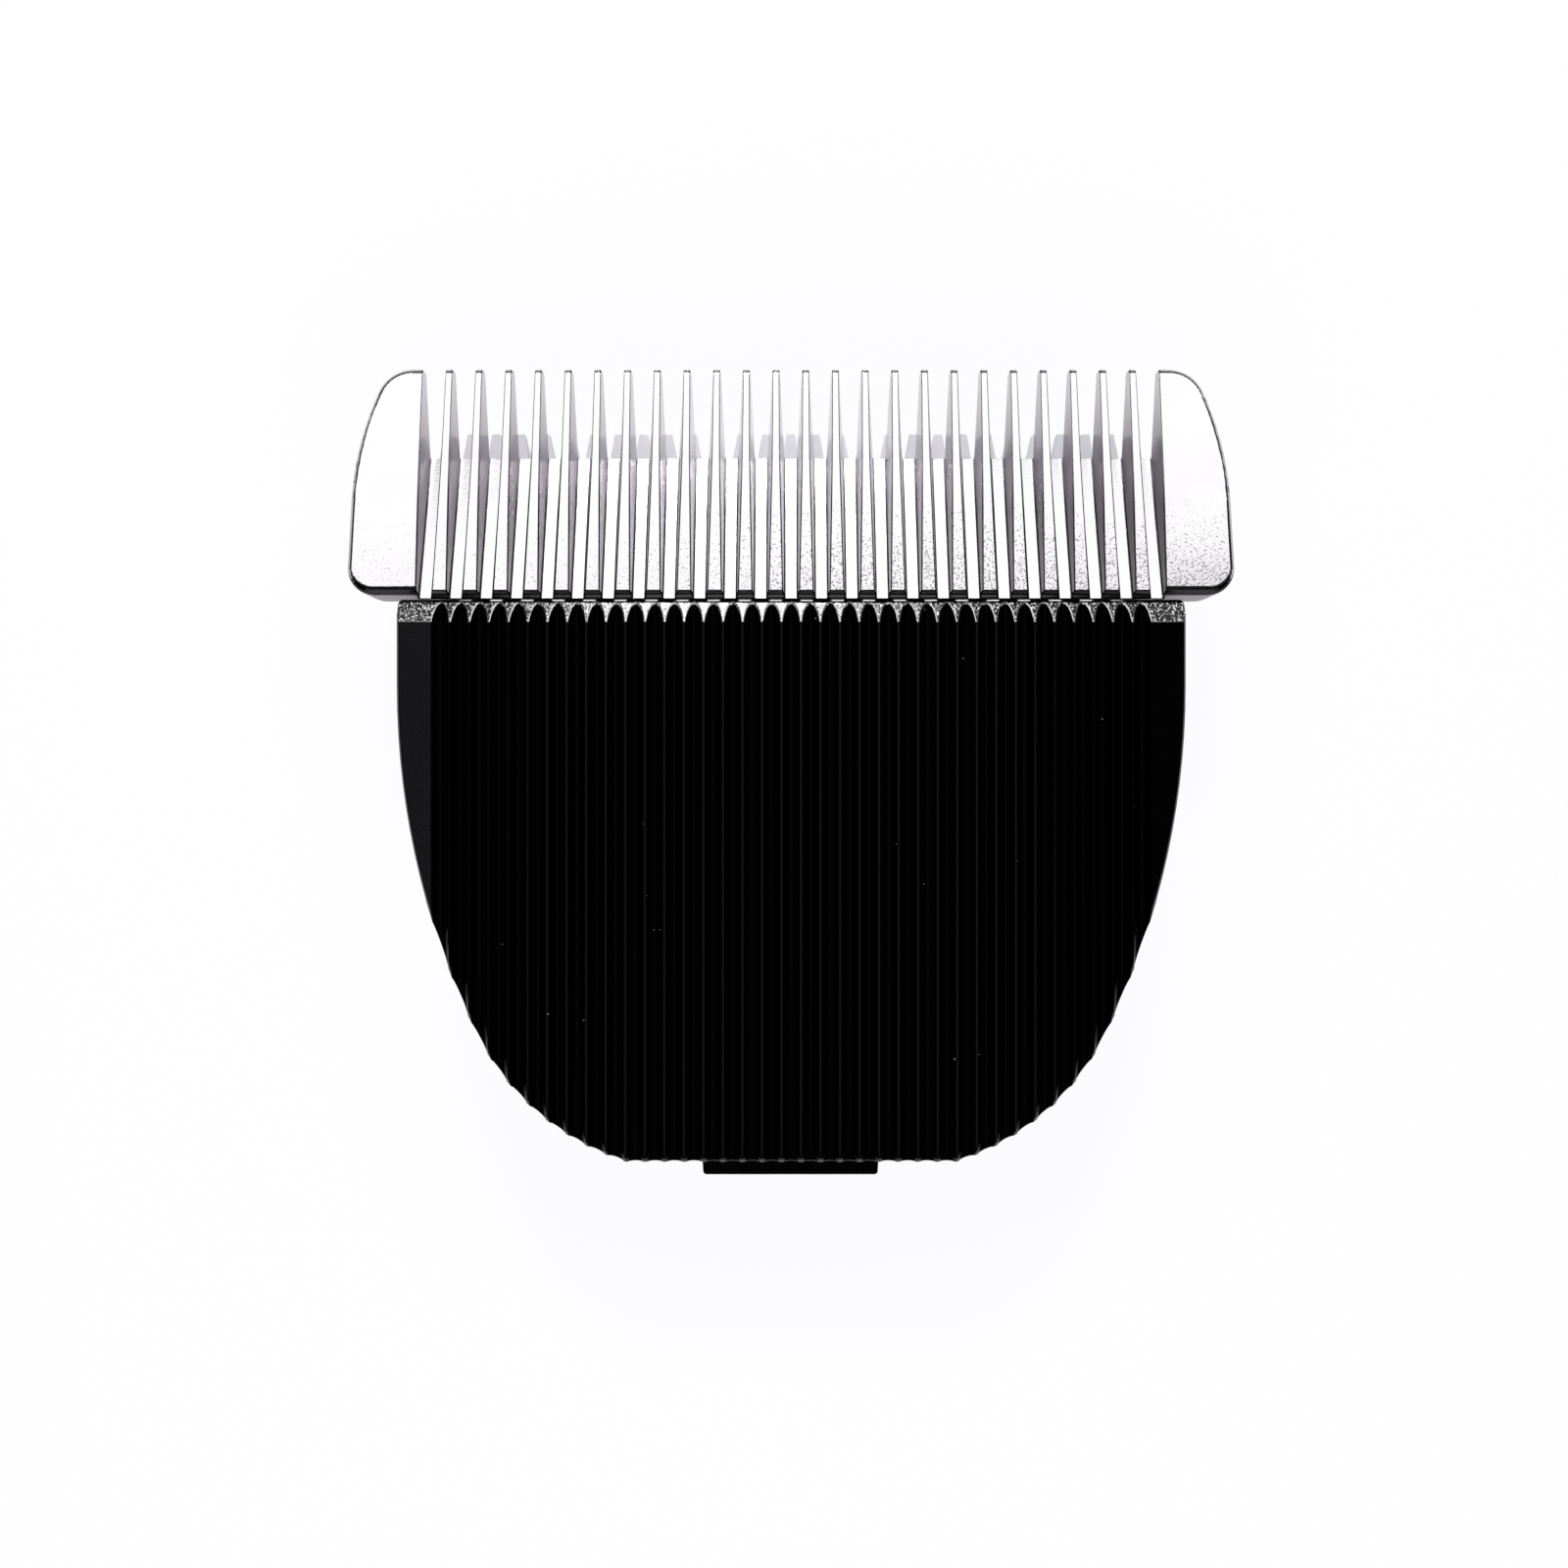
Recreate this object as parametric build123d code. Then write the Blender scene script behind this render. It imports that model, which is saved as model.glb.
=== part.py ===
from build123d import *
import math
import os

# A clip-on hair clipper blade, lying on the rim of its base with the fluted face up.
# X runs across the blade, +Y towards the tooth tips, Z up from the surface it lies on.
# All sizes are in millimetres.

# Clearances
slide_clearance = 0.2
pin_clearance = 0.05
drop_in_clearance = 0.3

# Travel of the cutter
stroke = 1.5
depth_travel = 2.4

# Heights of the whole blade
blade_plane = 7.0

# Fixed comb blade
tooth_count = 24
tooth_pitch = 1.6
groove_width = 0.68
flank_lean = 10.5
flank_knee = 1.3
upper_flank_lean = 3.0
groove_height = 2.4
tooth_tip_radius = 0.2
tooth_reach = 12.9
slot_depth = 4.7
tip_thickness = 0.6
tooth_rear_height = 2.5
tooth_rear_setback = 0.6
tooth_rear_slope = 0.13
guard_width = 3.36
guard_side_radius = 17.5
guard_side_straight = 5.0
guard_tip_radius = 2.0
guard_heel_radius = 1.5
guard_heel_setback = 0.4
comb_edge_radius = 0.4
comb_plate_height = 2.2
comb_seam_gap = 0.2
comb_seat_inset = 0.6
flange_thickness = 1.2
flange_length = 6.7

# Moulded base
base_side_inset = 3.11
base_length = 28.9
side_straight = 4.5
side_radius = 40.8
corner_radius = 12.7
rear_edge_angle = 17.0
front_corner_radius = 0.25
face_thickness = 1.6
face_edge_bevel = 0.15
nose_bevel_length = 1.2
nose_bevel_drop = 0.45
flute_count = 37
flute_pitch = 1.0
flute_radius = 0.45
flute_depth = 0.4
lip_width = 1.3
skirt_wall = 1.4
skirt_arm_reach = 1.5
skirt_arm_radius = 0.5
rib_wall = 0.9

# Hinge tongue at the rear of the base
tongue_overhang = 3.0
tongue_width = 10.0
tongue_taper = 0.3
tongue_thickness = 1.5
tongue_drop = 3.7
tongue_corner_radius = 0.2

# Snap ridges on the skirt
snap_radius = 0.6
snap_length = 4.0
snap_setback = 12.0
snap_height = 2.0

# Screws
screw_radius = 1.0
screw_head_radius = 1.9
screw_head_height = 1.3
screw_head_dome = 0.5
screw_edge = 2.2
screw_skin = 0.5
screw_end_gap = 0.2
screw_pad_width = 5.0
screw_pad_inset = 0.3
screw_pad_radius = 1.0
cross_width = 0.5
cross_length = 2.2
cross_depth = 0.8

# Ceramic cutter
cutter_pitch = tooth_pitch * 5 / 6
cutter_count = 29
cutter_setback = 3.4
cutter_tip_width = 0.43
cutter_gap_root = 0.2
cutter_gap_depth = 1.85
cutter_side_slope = 0.25
cutter_thickness = 1.6
cutter_tip_thickness = 0.5
cutter_bevel_length = 3.0
cutter_side_length = 4.6
cutter_shoulder_length = 3.0
cutter_heel_length = 4.2
cutter_relief = 0.2
relief_front_land = 3.2
relief_heel_land = 1.2
relief_side_land = 2.0

# Carrier under the cutter
peg_radius = 1.15
peg_spread = 7.5
peg_setback = 7.6
peg_height = 1.2
wing_thickness = 1.6
wing_front = 5.8
wing_rear = 11.4
wing_tip_inset = 0.2
wing_corner_radius = 1.0
fork_half_width = 5.3
fork_depth = 4.0
fork_front = 4.8
fork_corner_radius = 1.2
drive_slot_width = 5.0
drive_slot_length = 8.4
drive_slot_front = 6.0

# Guide rail and its channel
rail_setback = 17.4
rail_width = 1.2
rail_half_length = 3.6
rail_drop = 3.1
rail_ledge_gap = 0.4
rail_ledge_thickness = 1.0
channel_wall = 1.2
channel_floor = 1.2
channel_end_gap = 0.2

# Depth slide
slide_plate_thickness = 1.2
slide_plate_height = 0.3
slide_front_gap = 1.2
slide_length = 10.2
slide_edge = 1.0
slide_web = 1.2
slide_lip_thickness = 0.8
slide_wall = 1.2
cheek_thickness = 1.5
cheek_radius = 1.6
spindle_radius = 1.2
spindle_setback = 4.7
spindle_drop = 2.3
foot_half_width = 2.0
foot_thickness = 1.2
foot_drop = 5.8

# Pressure spring
wire_radius = 0.35
coil_turns = 2
coil_pitch = 0.75
coil_gap = 0.25
coil_inner_x = 7.2
bight_setback = 3.3
toe_length = 1.3
toe_bend = 0.8
toe_setback = 9.8
toe_gap = 0.05

# Places along the blade: the whole length is centred on the origin
seam_y = (base_length + tongue_overhang - tooth_reach) / 2
tip_y = seam_y + tooth_reach
slot_end_y = tip_y - slot_depth
tooth_rear_y = seam_y + tooth_rear_setback
guard_heel_y = seam_y + guard_heel_setback
comb_seat_y = seam_y + comb_seam_gap
flange_rear_y = comb_seat_y - flange_length
rear_y = seam_y - base_length
tongue_y = rear_y - tongue_overhang
cutter_tip_y = tip_y - cutter_setback
cutter_gap_y = cutter_tip_y - cutter_gap_depth
cutter_shoulder_y = cutter_gap_y - cutter_side_length
cutter_waist_y = cutter_shoulder_y - cutter_shoulder_length
cutter_heel_y = cutter_waist_y - (cutter_heel_length - cutter_shoulder_length)
rail_y = cutter_tip_y - rail_setback
slide_front_y = flange_rear_y - depth_travel - slide_front_gap
slide_rear_y = slide_front_y - slide_length
spindle_y = slide_front_y - spindle_setback

# Heights
comb_plate_z = blade_plane + comb_plate_height
flange_z = blade_plane + flange_thickness
face_z = comb_plate_z + face_thickness
cutter_under_z = blade_plane - cutter_thickness
wing_under_z = cutter_under_z - wing_thickness
slide_seat_z = blade_plane + slide_plate_height
spindle_z = blade_plane - spindle_drop
screw_hole_z = face_z - flute_depth - screw_skin

# Places across the blade
comb_half_pitches = (tooth_count + 1) / 2
comb_half_width = comb_half_pitches * tooth_pitch + guard_width
base_half_width = comb_half_width - base_side_inset
flange_half_width = base_half_width - lip_width - skirt_wall - drop_in_clearance
screw_x = flange_half_width - screw_edge
screw_y = (seam_y + flange_rear_y) / 2
heel_half_width = screw_x - screw_head_radius - stroke - drop_in_clearance
coil_radius = spindle_radius + coil_gap + wire_radius
coil_outer_x = coil_inner_x + coil_turns * coil_pitch + coil_pitch / 4
slide_half_width = coil_outer_x + wire_radius + drop_in_clearance + slide_edge
slide_wall_x = slide_half_width + slide_clearance


def polygon(*points):
    """A flat face with straight edges."""
    return make_face(Polyline(*points, close=True))


def side_extrude(profile, half_width):
    """A YZ profile carried both ways across the blade."""
    return extrude(Plane.YZ * profile, half_width, both=True)


def prism(plan, low_z, high_z):
    """A plan carried between two heights."""
    return extrude(Pos(0, 0, low_z) * plan, high_z - low_z)


def both_sides(solid):
    """A solid on the right and its mirror image on the left."""
    return [solid, mirror(solid, about=Plane.YZ)]


def base_plan():
    """Plan of the base: straight front and sides, long side arcs, round rear corners, straight rear edge."""
    side_y = seam_y - side_straight
    side_centre = Vector(base_half_width - side_radius, side_y)
    rear_angle = math.radians(rear_edge_angle)
    corner_y = rear_y + corner_radius * math.cos(rear_angle)
    reach = side_radius - corner_radius
    corner_x = side_centre.X + math.sqrt(reach**2 - (side_y - corner_y) ** 2)
    corner_centre = Vector(corner_x, corner_y)
    tangent = side_centre + (corner_centre - side_centre).normalized() * side_radius
    sweep_angle = math.degrees(math.atan2(side_y - tangent.Y, tangent.X - side_centre.X))
    side = JernArc((base_half_width, side_y), (0, -1), side_radius, -sweep_angle)
    corner = JernArc(side @ 1, side % 1, corner_radius, -(90 - rear_edge_angle - sweep_angle))
    front = Polyline((0, seam_y), (base_half_width, seam_y), side @ 0)
    rear = Line(corner @ 1, (0, rear_y))
    right = [front, side, corner, rear]
    left = [mirror(edge, about=Plane.YZ) for edge in right]
    return make_face(right + left)


def flutes():
    """Round grooves along the face, cut from above."""
    groove_z = face_z + flute_radius - flute_depth
    groove = Pos(0, 0, groove_z) * Rot(90, 0, 0) * Cylinder(flute_radius, 3 * base_length)
    middle = (flute_count - 1) / 2
    return [Pos((i - middle) * flute_pitch, 0, 0) * groove for i in range(flute_count)]


def face_plate():
    """Fluted face of the base with its bevelled nose and edges."""
    plate = prism(base_plan(), comb_plate_z, face_z)
    corners = plate.edges().filter_by(Axis.Z).group_by(Axis.Y)[-1]
    plate = fillet(corners, front_corner_radius)
    rim = plate.faces().sort_by(Axis.Z)[-1].edges()
    plate = chamfer(rim, face_edge_bevel)
    nose = polygon(
        (seam_y - nose_bevel_length, face_z),
        (seam_y, face_z - nose_bevel_drop),
        (seam_y + 1, face_z - nose_bevel_drop),
        (seam_y + 1, face_z + 1),
        (seam_y - nose_bevel_length, face_z + 1),
    )
    return plate - side_extrude(nose, 2 * base_half_width) - flutes()


def skirt():
    """Wall under the face that enters the clipper head, open towards the teeth."""
    outer = offset(base_plan(), -lip_width)
    inner = offset(base_plan(), -lip_width - skirt_wall)
    inner_half = base_half_width - lip_width - skirt_wall
    mouth = Pos(0, seam_y) * Rectangle(2 * inner_half, 2 * side_straight)
    return prism(outer - inner - mouth, 0, comb_plate_z)


def skirt_arm():
    """Right-hand arm of the skirt that reaches forward under the comb and props it up."""
    arm_x = base_half_width - lip_width - skirt_wall / 2
    front_y = seam_y + skirt_arm_reach
    heel_y = seam_y - lip_width - skirt_wall
    plan = Pos(arm_x, (front_y + heel_y) / 2) * Rectangle(skirt_wall, front_y - heel_y)
    plan = fillet(plan.vertices().group_by(Axis.Y)[-1], skirt_arm_radius)
    return prism(plan, 0, blade_plane - pin_clearance)


def hinge_tongue():
    """Flat tongue behind the skirt that hooks under the edge of the clipper head."""
    root_y = rear_y + lip_width + skirt_wall / 2
    end_half = tongue_width / 2
    plan = polygon(
        (-end_half - tongue_taper, root_y),
        (-end_half, tongue_y),
        (end_half, tongue_y),
        (end_half + tongue_taper, root_y),
    )
    plan = fillet(plan.vertices().group_by(Axis.Y)[0], tongue_corner_radius)
    top_z = blade_plane - tongue_drop
    return prism(plan, top_z - tongue_thickness, top_z)


def snap_ridge():
    """Rounded ridge on the right side of the skirt that clicks into the clipper head."""
    y = seam_y - snap_setback
    drop = seam_y - side_straight - y
    side_x = base_half_width - side_radius + math.sqrt(side_radius**2 - drop**2) - lip_width
    ridge = Pos(side_x - snap_radius / 2, y, snap_height) * Rot(90, 0, 0)
    return fillet((ridge * Cylinder(snap_radius, snap_length)).edges(), snap_radius / 3)


def slide_guide():
    """Right-hand L-shaped guide that carries one edge of the depth slide."""
    lip_x = slide_wall_x - slide_edge
    lip_z = slide_seat_z - slide_lip_thickness
    top_z = slide_seat_z + slide_plate_thickness + slide_clearance
    section = polygon(
        (lip_x, lip_z),
        (slide_wall_x + slide_wall, lip_z),
        (slide_wall_x + slide_wall, comb_plate_z),
        (lip_x, comb_plate_z),
        (lip_x, top_z),
        (slide_wall_x, top_z),
        (slide_wall_x, slide_seat_z),
        (lip_x, slide_seat_z),
    )
    length = slide_front_y - slide_rear_y - slide_edge
    return extrude(Plane.XZ.offset(slide_edge - slide_front_y) * section, length)


def stiffening_ribs():
    """Ribs under the face from the slide guides to the skirt, and one behind the slide."""
    low_z = slide_seat_z - slide_lip_thickness
    side_x = slide_wall_x + slide_wall / 2
    far_x = base_half_width
    ribs = []
    for share in (0.25, 0.75):
        y = slide_rear_y + share * slide_length
        plan = Pos((side_x + far_x) / 2, y) * Rectangle(far_x - side_x, rib_wall)
        ribs += both_sides(prism(plan, low_z, comb_plate_z))
    rear_stop_y = slide_rear_y - slide_clearance - rib_wall / 2
    stop = Pos(0, rear_stop_y) * Rectangle(2 * (slide_wall_x + slide_wall), rib_wall)
    ribs.append(prism(stop, low_z, comb_plate_z))
    trimmed = offset(base_plan(), -lip_width - skirt_wall / 2)
    inside = prism(trimmed, 0, face_z)
    return [rib & inside for rib in ribs]


def screw_pads():
    """Pads between the comb flange and the face, round the screw holes and in the middle."""
    pad_length = seam_y - flange_rear_y - 2 * screw_pad_inset
    pad = RectangleRounded(screw_pad_width, pad_length, screw_pad_radius)
    return [prism(Pos(x, screw_y) * pad, flange_z, comb_plate_z) for x in (-screw_x, 0, screw_x)]


def make_base():
    base = face_plate()
    base += skirt()
    base += both_sides(skirt_arm())
    base += hinge_tongue()
    base += both_sides(snap_ridge())
    base += both_sides(slide_guide())
    base += stiffening_ribs()
    base += screw_pads()
    hole = Circle(screw_radius + pin_clearance)
    base -= [prism(Pos(x, screw_y) * hole, flange_z, screw_hole_z) for x in (-screw_x, screw_x)]
    return base


def guard_plan():
    """Plan of the comb ahead of the seam at Y 0: bowed sides with rounded tip and heel corners."""
    side_start = guard_heel_setback + guard_side_straight
    bow = math.degrees(math.asin((tooth_reach - side_start) / guard_side_radius))
    side = JernArc((comb_half_width, side_start), (0, 1), guard_side_radius, bow)
    right = [
        Polyline((0, guard_heel_setback), (comb_half_width, guard_heel_setback), side @ 0),
        side,
        Line(side @ 1, (0, tooth_reach)),
    ]
    left = [mirror(edge, about=Plane.YZ) for edge in right]
    plan = make_face(right + left)
    plan = fillet(outer_corners(plan)[-1], guard_tip_radius)
    return fillet(outer_corners(plan)[0], guard_heel_radius)


def outer_corners(plan):
    """Corners of a plan away from its middle line, in rows from rear to front."""
    corners = plan.vertices().filter_by(lambda corner: abs(corner.X) > tooth_pitch)
    return corners.group_by(Axis.Y)


def comb_top(ahead):
    """Height of the tooth tops at a distance ahead of the seam."""
    slope = (tooth_rear_height - tip_thickness) / (tooth_reach - tooth_rear_setback)
    return blade_plane + tip_thickness + slope * (tooth_reach - ahead)


def comb_profile(front):
    """Side view of the comb from the guard heels to a distance ahead of the seam."""
    return polygon(
        (guard_heel_setback, blade_plane),
        (front, blade_plane),
        (front, comb_top(front)),
        (guard_heel_setback, comb_top(guard_heel_setback)),
    )


def comb_body():
    """Comb before its grooves: one slope from the tips up, its upper edge rounded except behind the teeth."""
    body = prism(guard_plan(), blade_plane, face_z)
    body &= side_extrude(comb_profile(tooth_reach), comb_half_width)
    top = body.faces().filter_by(lambda face: face.normal_at().Z > 0.5)[0]
    body = fillet(top.edges(), comb_edge_radius)
    rear_land = comb_profile(tooth_rear_setback + 2 * comb_edge_radius)
    return Pos(0, seam_y, 0) * (body + side_extrude(rear_land, tooth_count / 2 * tooth_pitch))


def comb_seat():
    """Plate of the comb under the base, stepped down to the screw flange."""
    half = base_half_width - comb_seat_inset
    seat = Pos(0, (guard_heel_y + 1 + comb_seat_y) / 2) * Rectangle(2 * half, guard_heel_y + 1 - comb_seat_y)
    flange_y = (comb_seat_y + 1 + flange_rear_y) / 2
    flange = Pos(0, flange_y) * Rectangle(2 * flange_half_width, comb_seat_y + 1 - flange_rear_y)
    return prism(seat, blade_plane, comb_plate_z) + prism(flange, blade_plane, flange_z)


def tooth_rear_cut():
    """Slope that ends the tooth tops just ahead of the base."""
    floor_y = tooth_rear_y - tooth_rear_slope
    rise = tooth_rear_slope / (tooth_rear_height - comb_plate_height)
    profile = polygon(
        (floor_y, comb_plate_z),
        (floor_y + rise * face_thickness, face_z),
        (guard_heel_y - 1, face_z),
        (guard_heel_y - 1, comb_plate_z),
    )
    return side_extrude(profile, tooth_count / 2 * tooth_pitch)


def comb_groove():
    """Gap between two teeth, as a tapered wheel grinds it: leaning flanks on a floor that falls to the tips."""
    fall = comb_plate_height / (slot_end_y - comb_seat_y)
    start_y = comb_seat_y - 1
    floor_z = comb_plate_z + fall
    floor_half = groove_width / 2
    knee_half = floor_half + flank_knee * math.tan(math.radians(flank_lean))
    top_half = knee_half + (groove_height - flank_knee) * math.tan(math.radians(upper_flank_lean))
    section = polygon(
        (-floor_half, floor_z),
        (floor_half, floor_z),
        (knee_half, floor_z + flank_knee),
        (top_half, floor_z + groove_height),
        (-top_half, floor_z + groove_height),
        (-knee_half, floor_z + flank_knee),
    )
    return extrude(Plane.XZ.offset(-start_y) * section, 1.5 * tooth_reach, dir=Vector(0, 1, -fall))


def tip_gap():
    """Cut between two tooth tips that leaves both rounded."""
    middle = tooth_pitch / 2
    lip_y = tip_y - tooth_tip_radius
    right = [
        Line((0, lip_y), (middle - tooth_tip_radius, lip_y)),
        CenterArc((middle, lip_y), tooth_tip_radius, 90, 90),
        Polyline((middle, tip_y), (middle, tip_y + 1), (0, tip_y + 1)),
    ]
    left = [mirror(edge, about=Plane.YZ) for edge in right]
    return prism(make_face(right + left), blade_plane - 1, face_z)


def make_fixed_blade():
    comb = comb_body() + comb_seat() - tooth_rear_cut()
    gap = comb_groove() + tip_gap()
    middle = tooth_count / 2
    comb -= [Pos((i - middle) * tooth_pitch, 0, 0) * gap for i in range(tooth_count + 1)]
    hole = Circle(screw_radius + drop_in_clearance)
    comb -= [prism(Pos(x, screw_y) * hole, blade_plane, flange_z) for x in (-screw_x, screw_x)]
    return comb


def cutter_plan():
    """Plan of the cutter: toothed front, straight ends, shoulders in to a narrow heel."""
    end_x = (cutter_count - 1) / 2 * cutter_pitch + cutter_tip_width / 2
    side_x = end_x + cutter_side_slope
    right = [
        (end_x, cutter_tip_y),
        (side_x, cutter_gap_y),
        (side_x, cutter_shoulder_y),
        (heel_half_width, cutter_waist_y),
        (heel_half_width, cutter_heel_y),
    ]
    left = [(-x, y) for x, y in reversed(right)]
    body = polygon(*right, *left)
    mouth_half = (cutter_pitch - cutter_tip_width) / 2
    notch = polygon(
        (-mouth_half, cutter_tip_y),
        (-cutter_gap_root / 2, cutter_gap_y),
        (cutter_gap_root / 2, cutter_gap_y),
        (mouth_half, cutter_tip_y),
    )
    middle = (cutter_count - 2) / 2
    return body - [Pos((i - middle) * cutter_pitch, 0) * notch for i in range(cutter_count - 1)]


def make_moving_blade():
    bevel_y = cutter_tip_y - cutter_bevel_length
    profile = polygon(
        (cutter_heel_y, cutter_under_z),
        (bevel_y, cutter_under_z),
        (cutter_tip_y, blade_plane - cutter_tip_thickness),
        (cutter_tip_y, blade_plane),
        (cutter_heel_y, blade_plane),
    )
    cutter = prism(cutter_plan(), cutter_under_z, blade_plane) & side_extrude(profile, comb_half_width)
    relief = polygon(
        (cutter_heel_y + relief_heel_land, blade_plane - cutter_relief),
        (cutter_tip_y - relief_front_land, blade_plane - cutter_relief),
        (cutter_tip_y - relief_front_land, blade_plane),
        (cutter_heel_y + relief_heel_land, blade_plane),
    )
    cutter -= side_extrude(relief, heel_half_width - relief_side_land)
    hole = Circle(peg_radius + pin_clearance)
    peg_y = cutter_tip_y - peg_setback
    cutter -= [prism(Pos(x, peg_y) * hole, cutter_under_z, blade_plane) for x in (-peg_spread, peg_spread)]
    return cutter


def make_carrier():
    """Carrier: wings with pegs for the cutter, a fork round the drive slot and a channel for the guide rail."""
    wing_half = heel_half_width - wing_tip_inset
    wing_length = wing_rear - wing_front
    wing_y = cutter_tip_y - (wing_front + wing_rear) / 2
    wings = Pos(0, wing_y) * RectangleRounded(2 * wing_half, wing_length, wing_corner_radius)
    carrier = prism(wings, wing_under_z, cutter_under_z)

    channel_half = rail_width / 2 + slide_clearance + channel_wall
    channel_y = rail_y - channel_half
    fork_front_y = cutter_tip_y - fork_front
    fork_rear_y = rail_y + channel_half - channel_wall
    fork_low_z = cutter_under_z - fork_depth
    fork_length = fork_front_y - fork_rear_y
    fork = Pos(0, (fork_front_y + fork_rear_y) / 2) * RectangleRounded(
        2 * fork_half_width, fork_length, fork_corner_radius
    )
    carrier += prism(fork, fork_low_z, cutter_under_z)

    rail_low_z = blade_plane - rail_drop
    channel_low_z = rail_low_z - slide_clearance - channel_floor
    ledge_z = blade_plane - rail_ledge_gap - rail_ledge_thickness
    channel_top_z = ledge_z - drop_in_clearance
    room_half = rail_half_length + stroke + channel_end_gap
    channel = Pos(0, rail_y) * Rectangle(2 * (room_half + channel_wall), 2 * channel_half)
    room = Pos(0, rail_y) * Rectangle(2 * room_half, 2 * (channel_half - channel_wall))
    carrier += prism(channel, channel_low_z, channel_top_z)
    carrier -= prism(room, rail_low_z - slide_clearance, cutter_under_z)
    above = Pos(0, rail_y) * Rectangle(2 * (room_half + channel_wall), 2 * channel_half)
    carrier -= prism(above, channel_top_z, cutter_under_z)

    slot_y = cutter_tip_y - drive_slot_front - drive_slot_length / 2
    slot = Pos(0, slot_y) * SlotOverall(drive_slot_length, drive_slot_width, rotation=90)
    carrier -= prism(slot, fork_low_z, cutter_under_z)

    peg_y = cutter_tip_y - peg_setback
    for x in (-peg_spread, peg_spread):
        carrier += prism(Pos(x, peg_y) * Circle(peg_radius), wing_under_z, cutter_under_z + peg_height)
    return carrier


def make_depth_slide():
    """Slide: guided plate, front ledge with the guide rail, cheeks with spring spindles and a rear foot."""
    top_z = slide_seat_z + slide_plate_thickness
    mid_y = (slide_front_y + slide_rear_y) / 2
    plate = Pos(0, mid_y) * RectangleRounded(2 * slide_half_width, slide_length, slide_edge / 2)
    slide = prism(plate, slide_seat_z, top_z)

    ledge_top_z = blade_plane - rail_ledge_gap
    ledge_low_z = ledge_top_z - rail_ledge_thickness
    rail_front_y = rail_y + rail_width / 2
    arm = polygon(
        (slide_front_y - slide_web, top_z),
        (slide_front_y - slide_web, ledge_low_z),
        (rail_y - rail_width / 2, ledge_low_z),
        (rail_y - rail_width / 2, blade_plane - rail_drop),
        (rail_front_y, blade_plane - rail_drop),
        (rail_front_y, ledge_top_z),
        (slide_front_y, ledge_top_z),
        (slide_front_y, top_z),
    )
    slide += side_extrude(arm, rail_half_length)

    cheek_x = coil_inner_x - wire_radius - pin_clearance - cheek_thickness / 2
    cheek = polygon(
        (spindle_y - cheek_radius, slide_seat_z),
        (spindle_y - cheek_radius, spindle_z),
        (spindle_y + cheek_radius, spindle_z),
        (spindle_y + cheek_radius, slide_seat_z),
    )
    cheek += Pos(spindle_y, spindle_z) * Circle(cheek_radius)
    spindle_end = coil_outer_x + wire_radius
    spindle = extrude(Plane.YZ * Pos(spindle_y, spindle_z) * Circle(spindle_radius), spindle_end)
    spindle -= Box(2 * cheek_x, 4 * base_length, 4 * blade_plane)
    slide += both_sides(Pos(cheek_x, 0, 0) * side_extrude(cheek, cheek_thickness / 2))
    slide += both_sides(spindle)

    foot = polygon(
        (slide_rear_y, top_z),
        (slide_rear_y, blade_plane - foot_drop),
        (slide_rear_y + foot_thickness, blade_plane - foot_drop),
        (slide_rear_y + foot_thickness, top_z),
    )
    return slide + side_extrude(foot, foot_half_width)


def spring_path():
    """Centre line of the right half of the spring, from the middle of its bight to the toe."""
    bight_y = spindle_y - bight_setback
    bight_z = slide_seat_z - wire_radius - pin_clearance
    points = [(0, bight_y, bight_z), (coil_inner_x / 2, bight_y, bight_z)]
    points.append((coil_inner_x - 4 * wire_radius, bight_y, bight_z))
    points.append((coil_inner_x - wire_radius, bight_y + wire_radius / 2, bight_z - wire_radius / 4))

    # Where the wire from the bight meets the coil, then round to the bottom of the last turn
    rise = bight_z - spindle_z
    away = math.hypot(bight_setback, rise)
    start = math.atan2(rise, -bight_setback) + math.acos(coil_radius / away)
    end = math.radians(270 + 360 * coil_turns)
    steps = 12 * coil_turns + 3
    for i in range(steps + 1):
        angle = start + (end - start) * i / steps
        x = coil_inner_x + coil_pitch * (angle - start) / math.tau
        points.append((x, spindle_y + coil_radius * math.cos(angle), spindle_z + coil_radius * math.sin(angle)))

    # Straight arm forward under the wing of the carrier, with its toe turned out
    arm_x = points[-1][0]
    arm_z = spindle_z - coil_radius
    toe_y = cutter_tip_y - toe_setback
    toe_z = wing_under_z - wire_radius - toe_gap
    for share in (0.2, 0.5, 0.8, 1.0):
        y = spindle_y + share * (toe_y - toe_bend - spindle_y)
        points.append((arm_x, y, arm_z + share * (toe_z - arm_z)))
    points.append((arm_x + 0.3 * toe_bend, toe_y - 0.3 * toe_bend, toe_z))
    points.append((arm_x + toe_bend, toe_y, toe_z))
    points.append((arm_x + toe_length, toe_y, toe_z))
    return points


def make_spring():
    """Double torsion spring: both halves joined end to end at the middle of the bight."""
    wire = Spline(*spring_path(), tangents=[(1, 0, 0), (1, 0, 0)])
    section = Plane(wire @ 0, z_dir=wire % 0) * Circle(wire_radius)
    right = sweep(section, path=wire)
    faces = [face for half in both_sides(right) for face in half.faces()]
    return Solid(Shell([face for face in faces if abs(face.center().X) > pin_clearance]))


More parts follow.
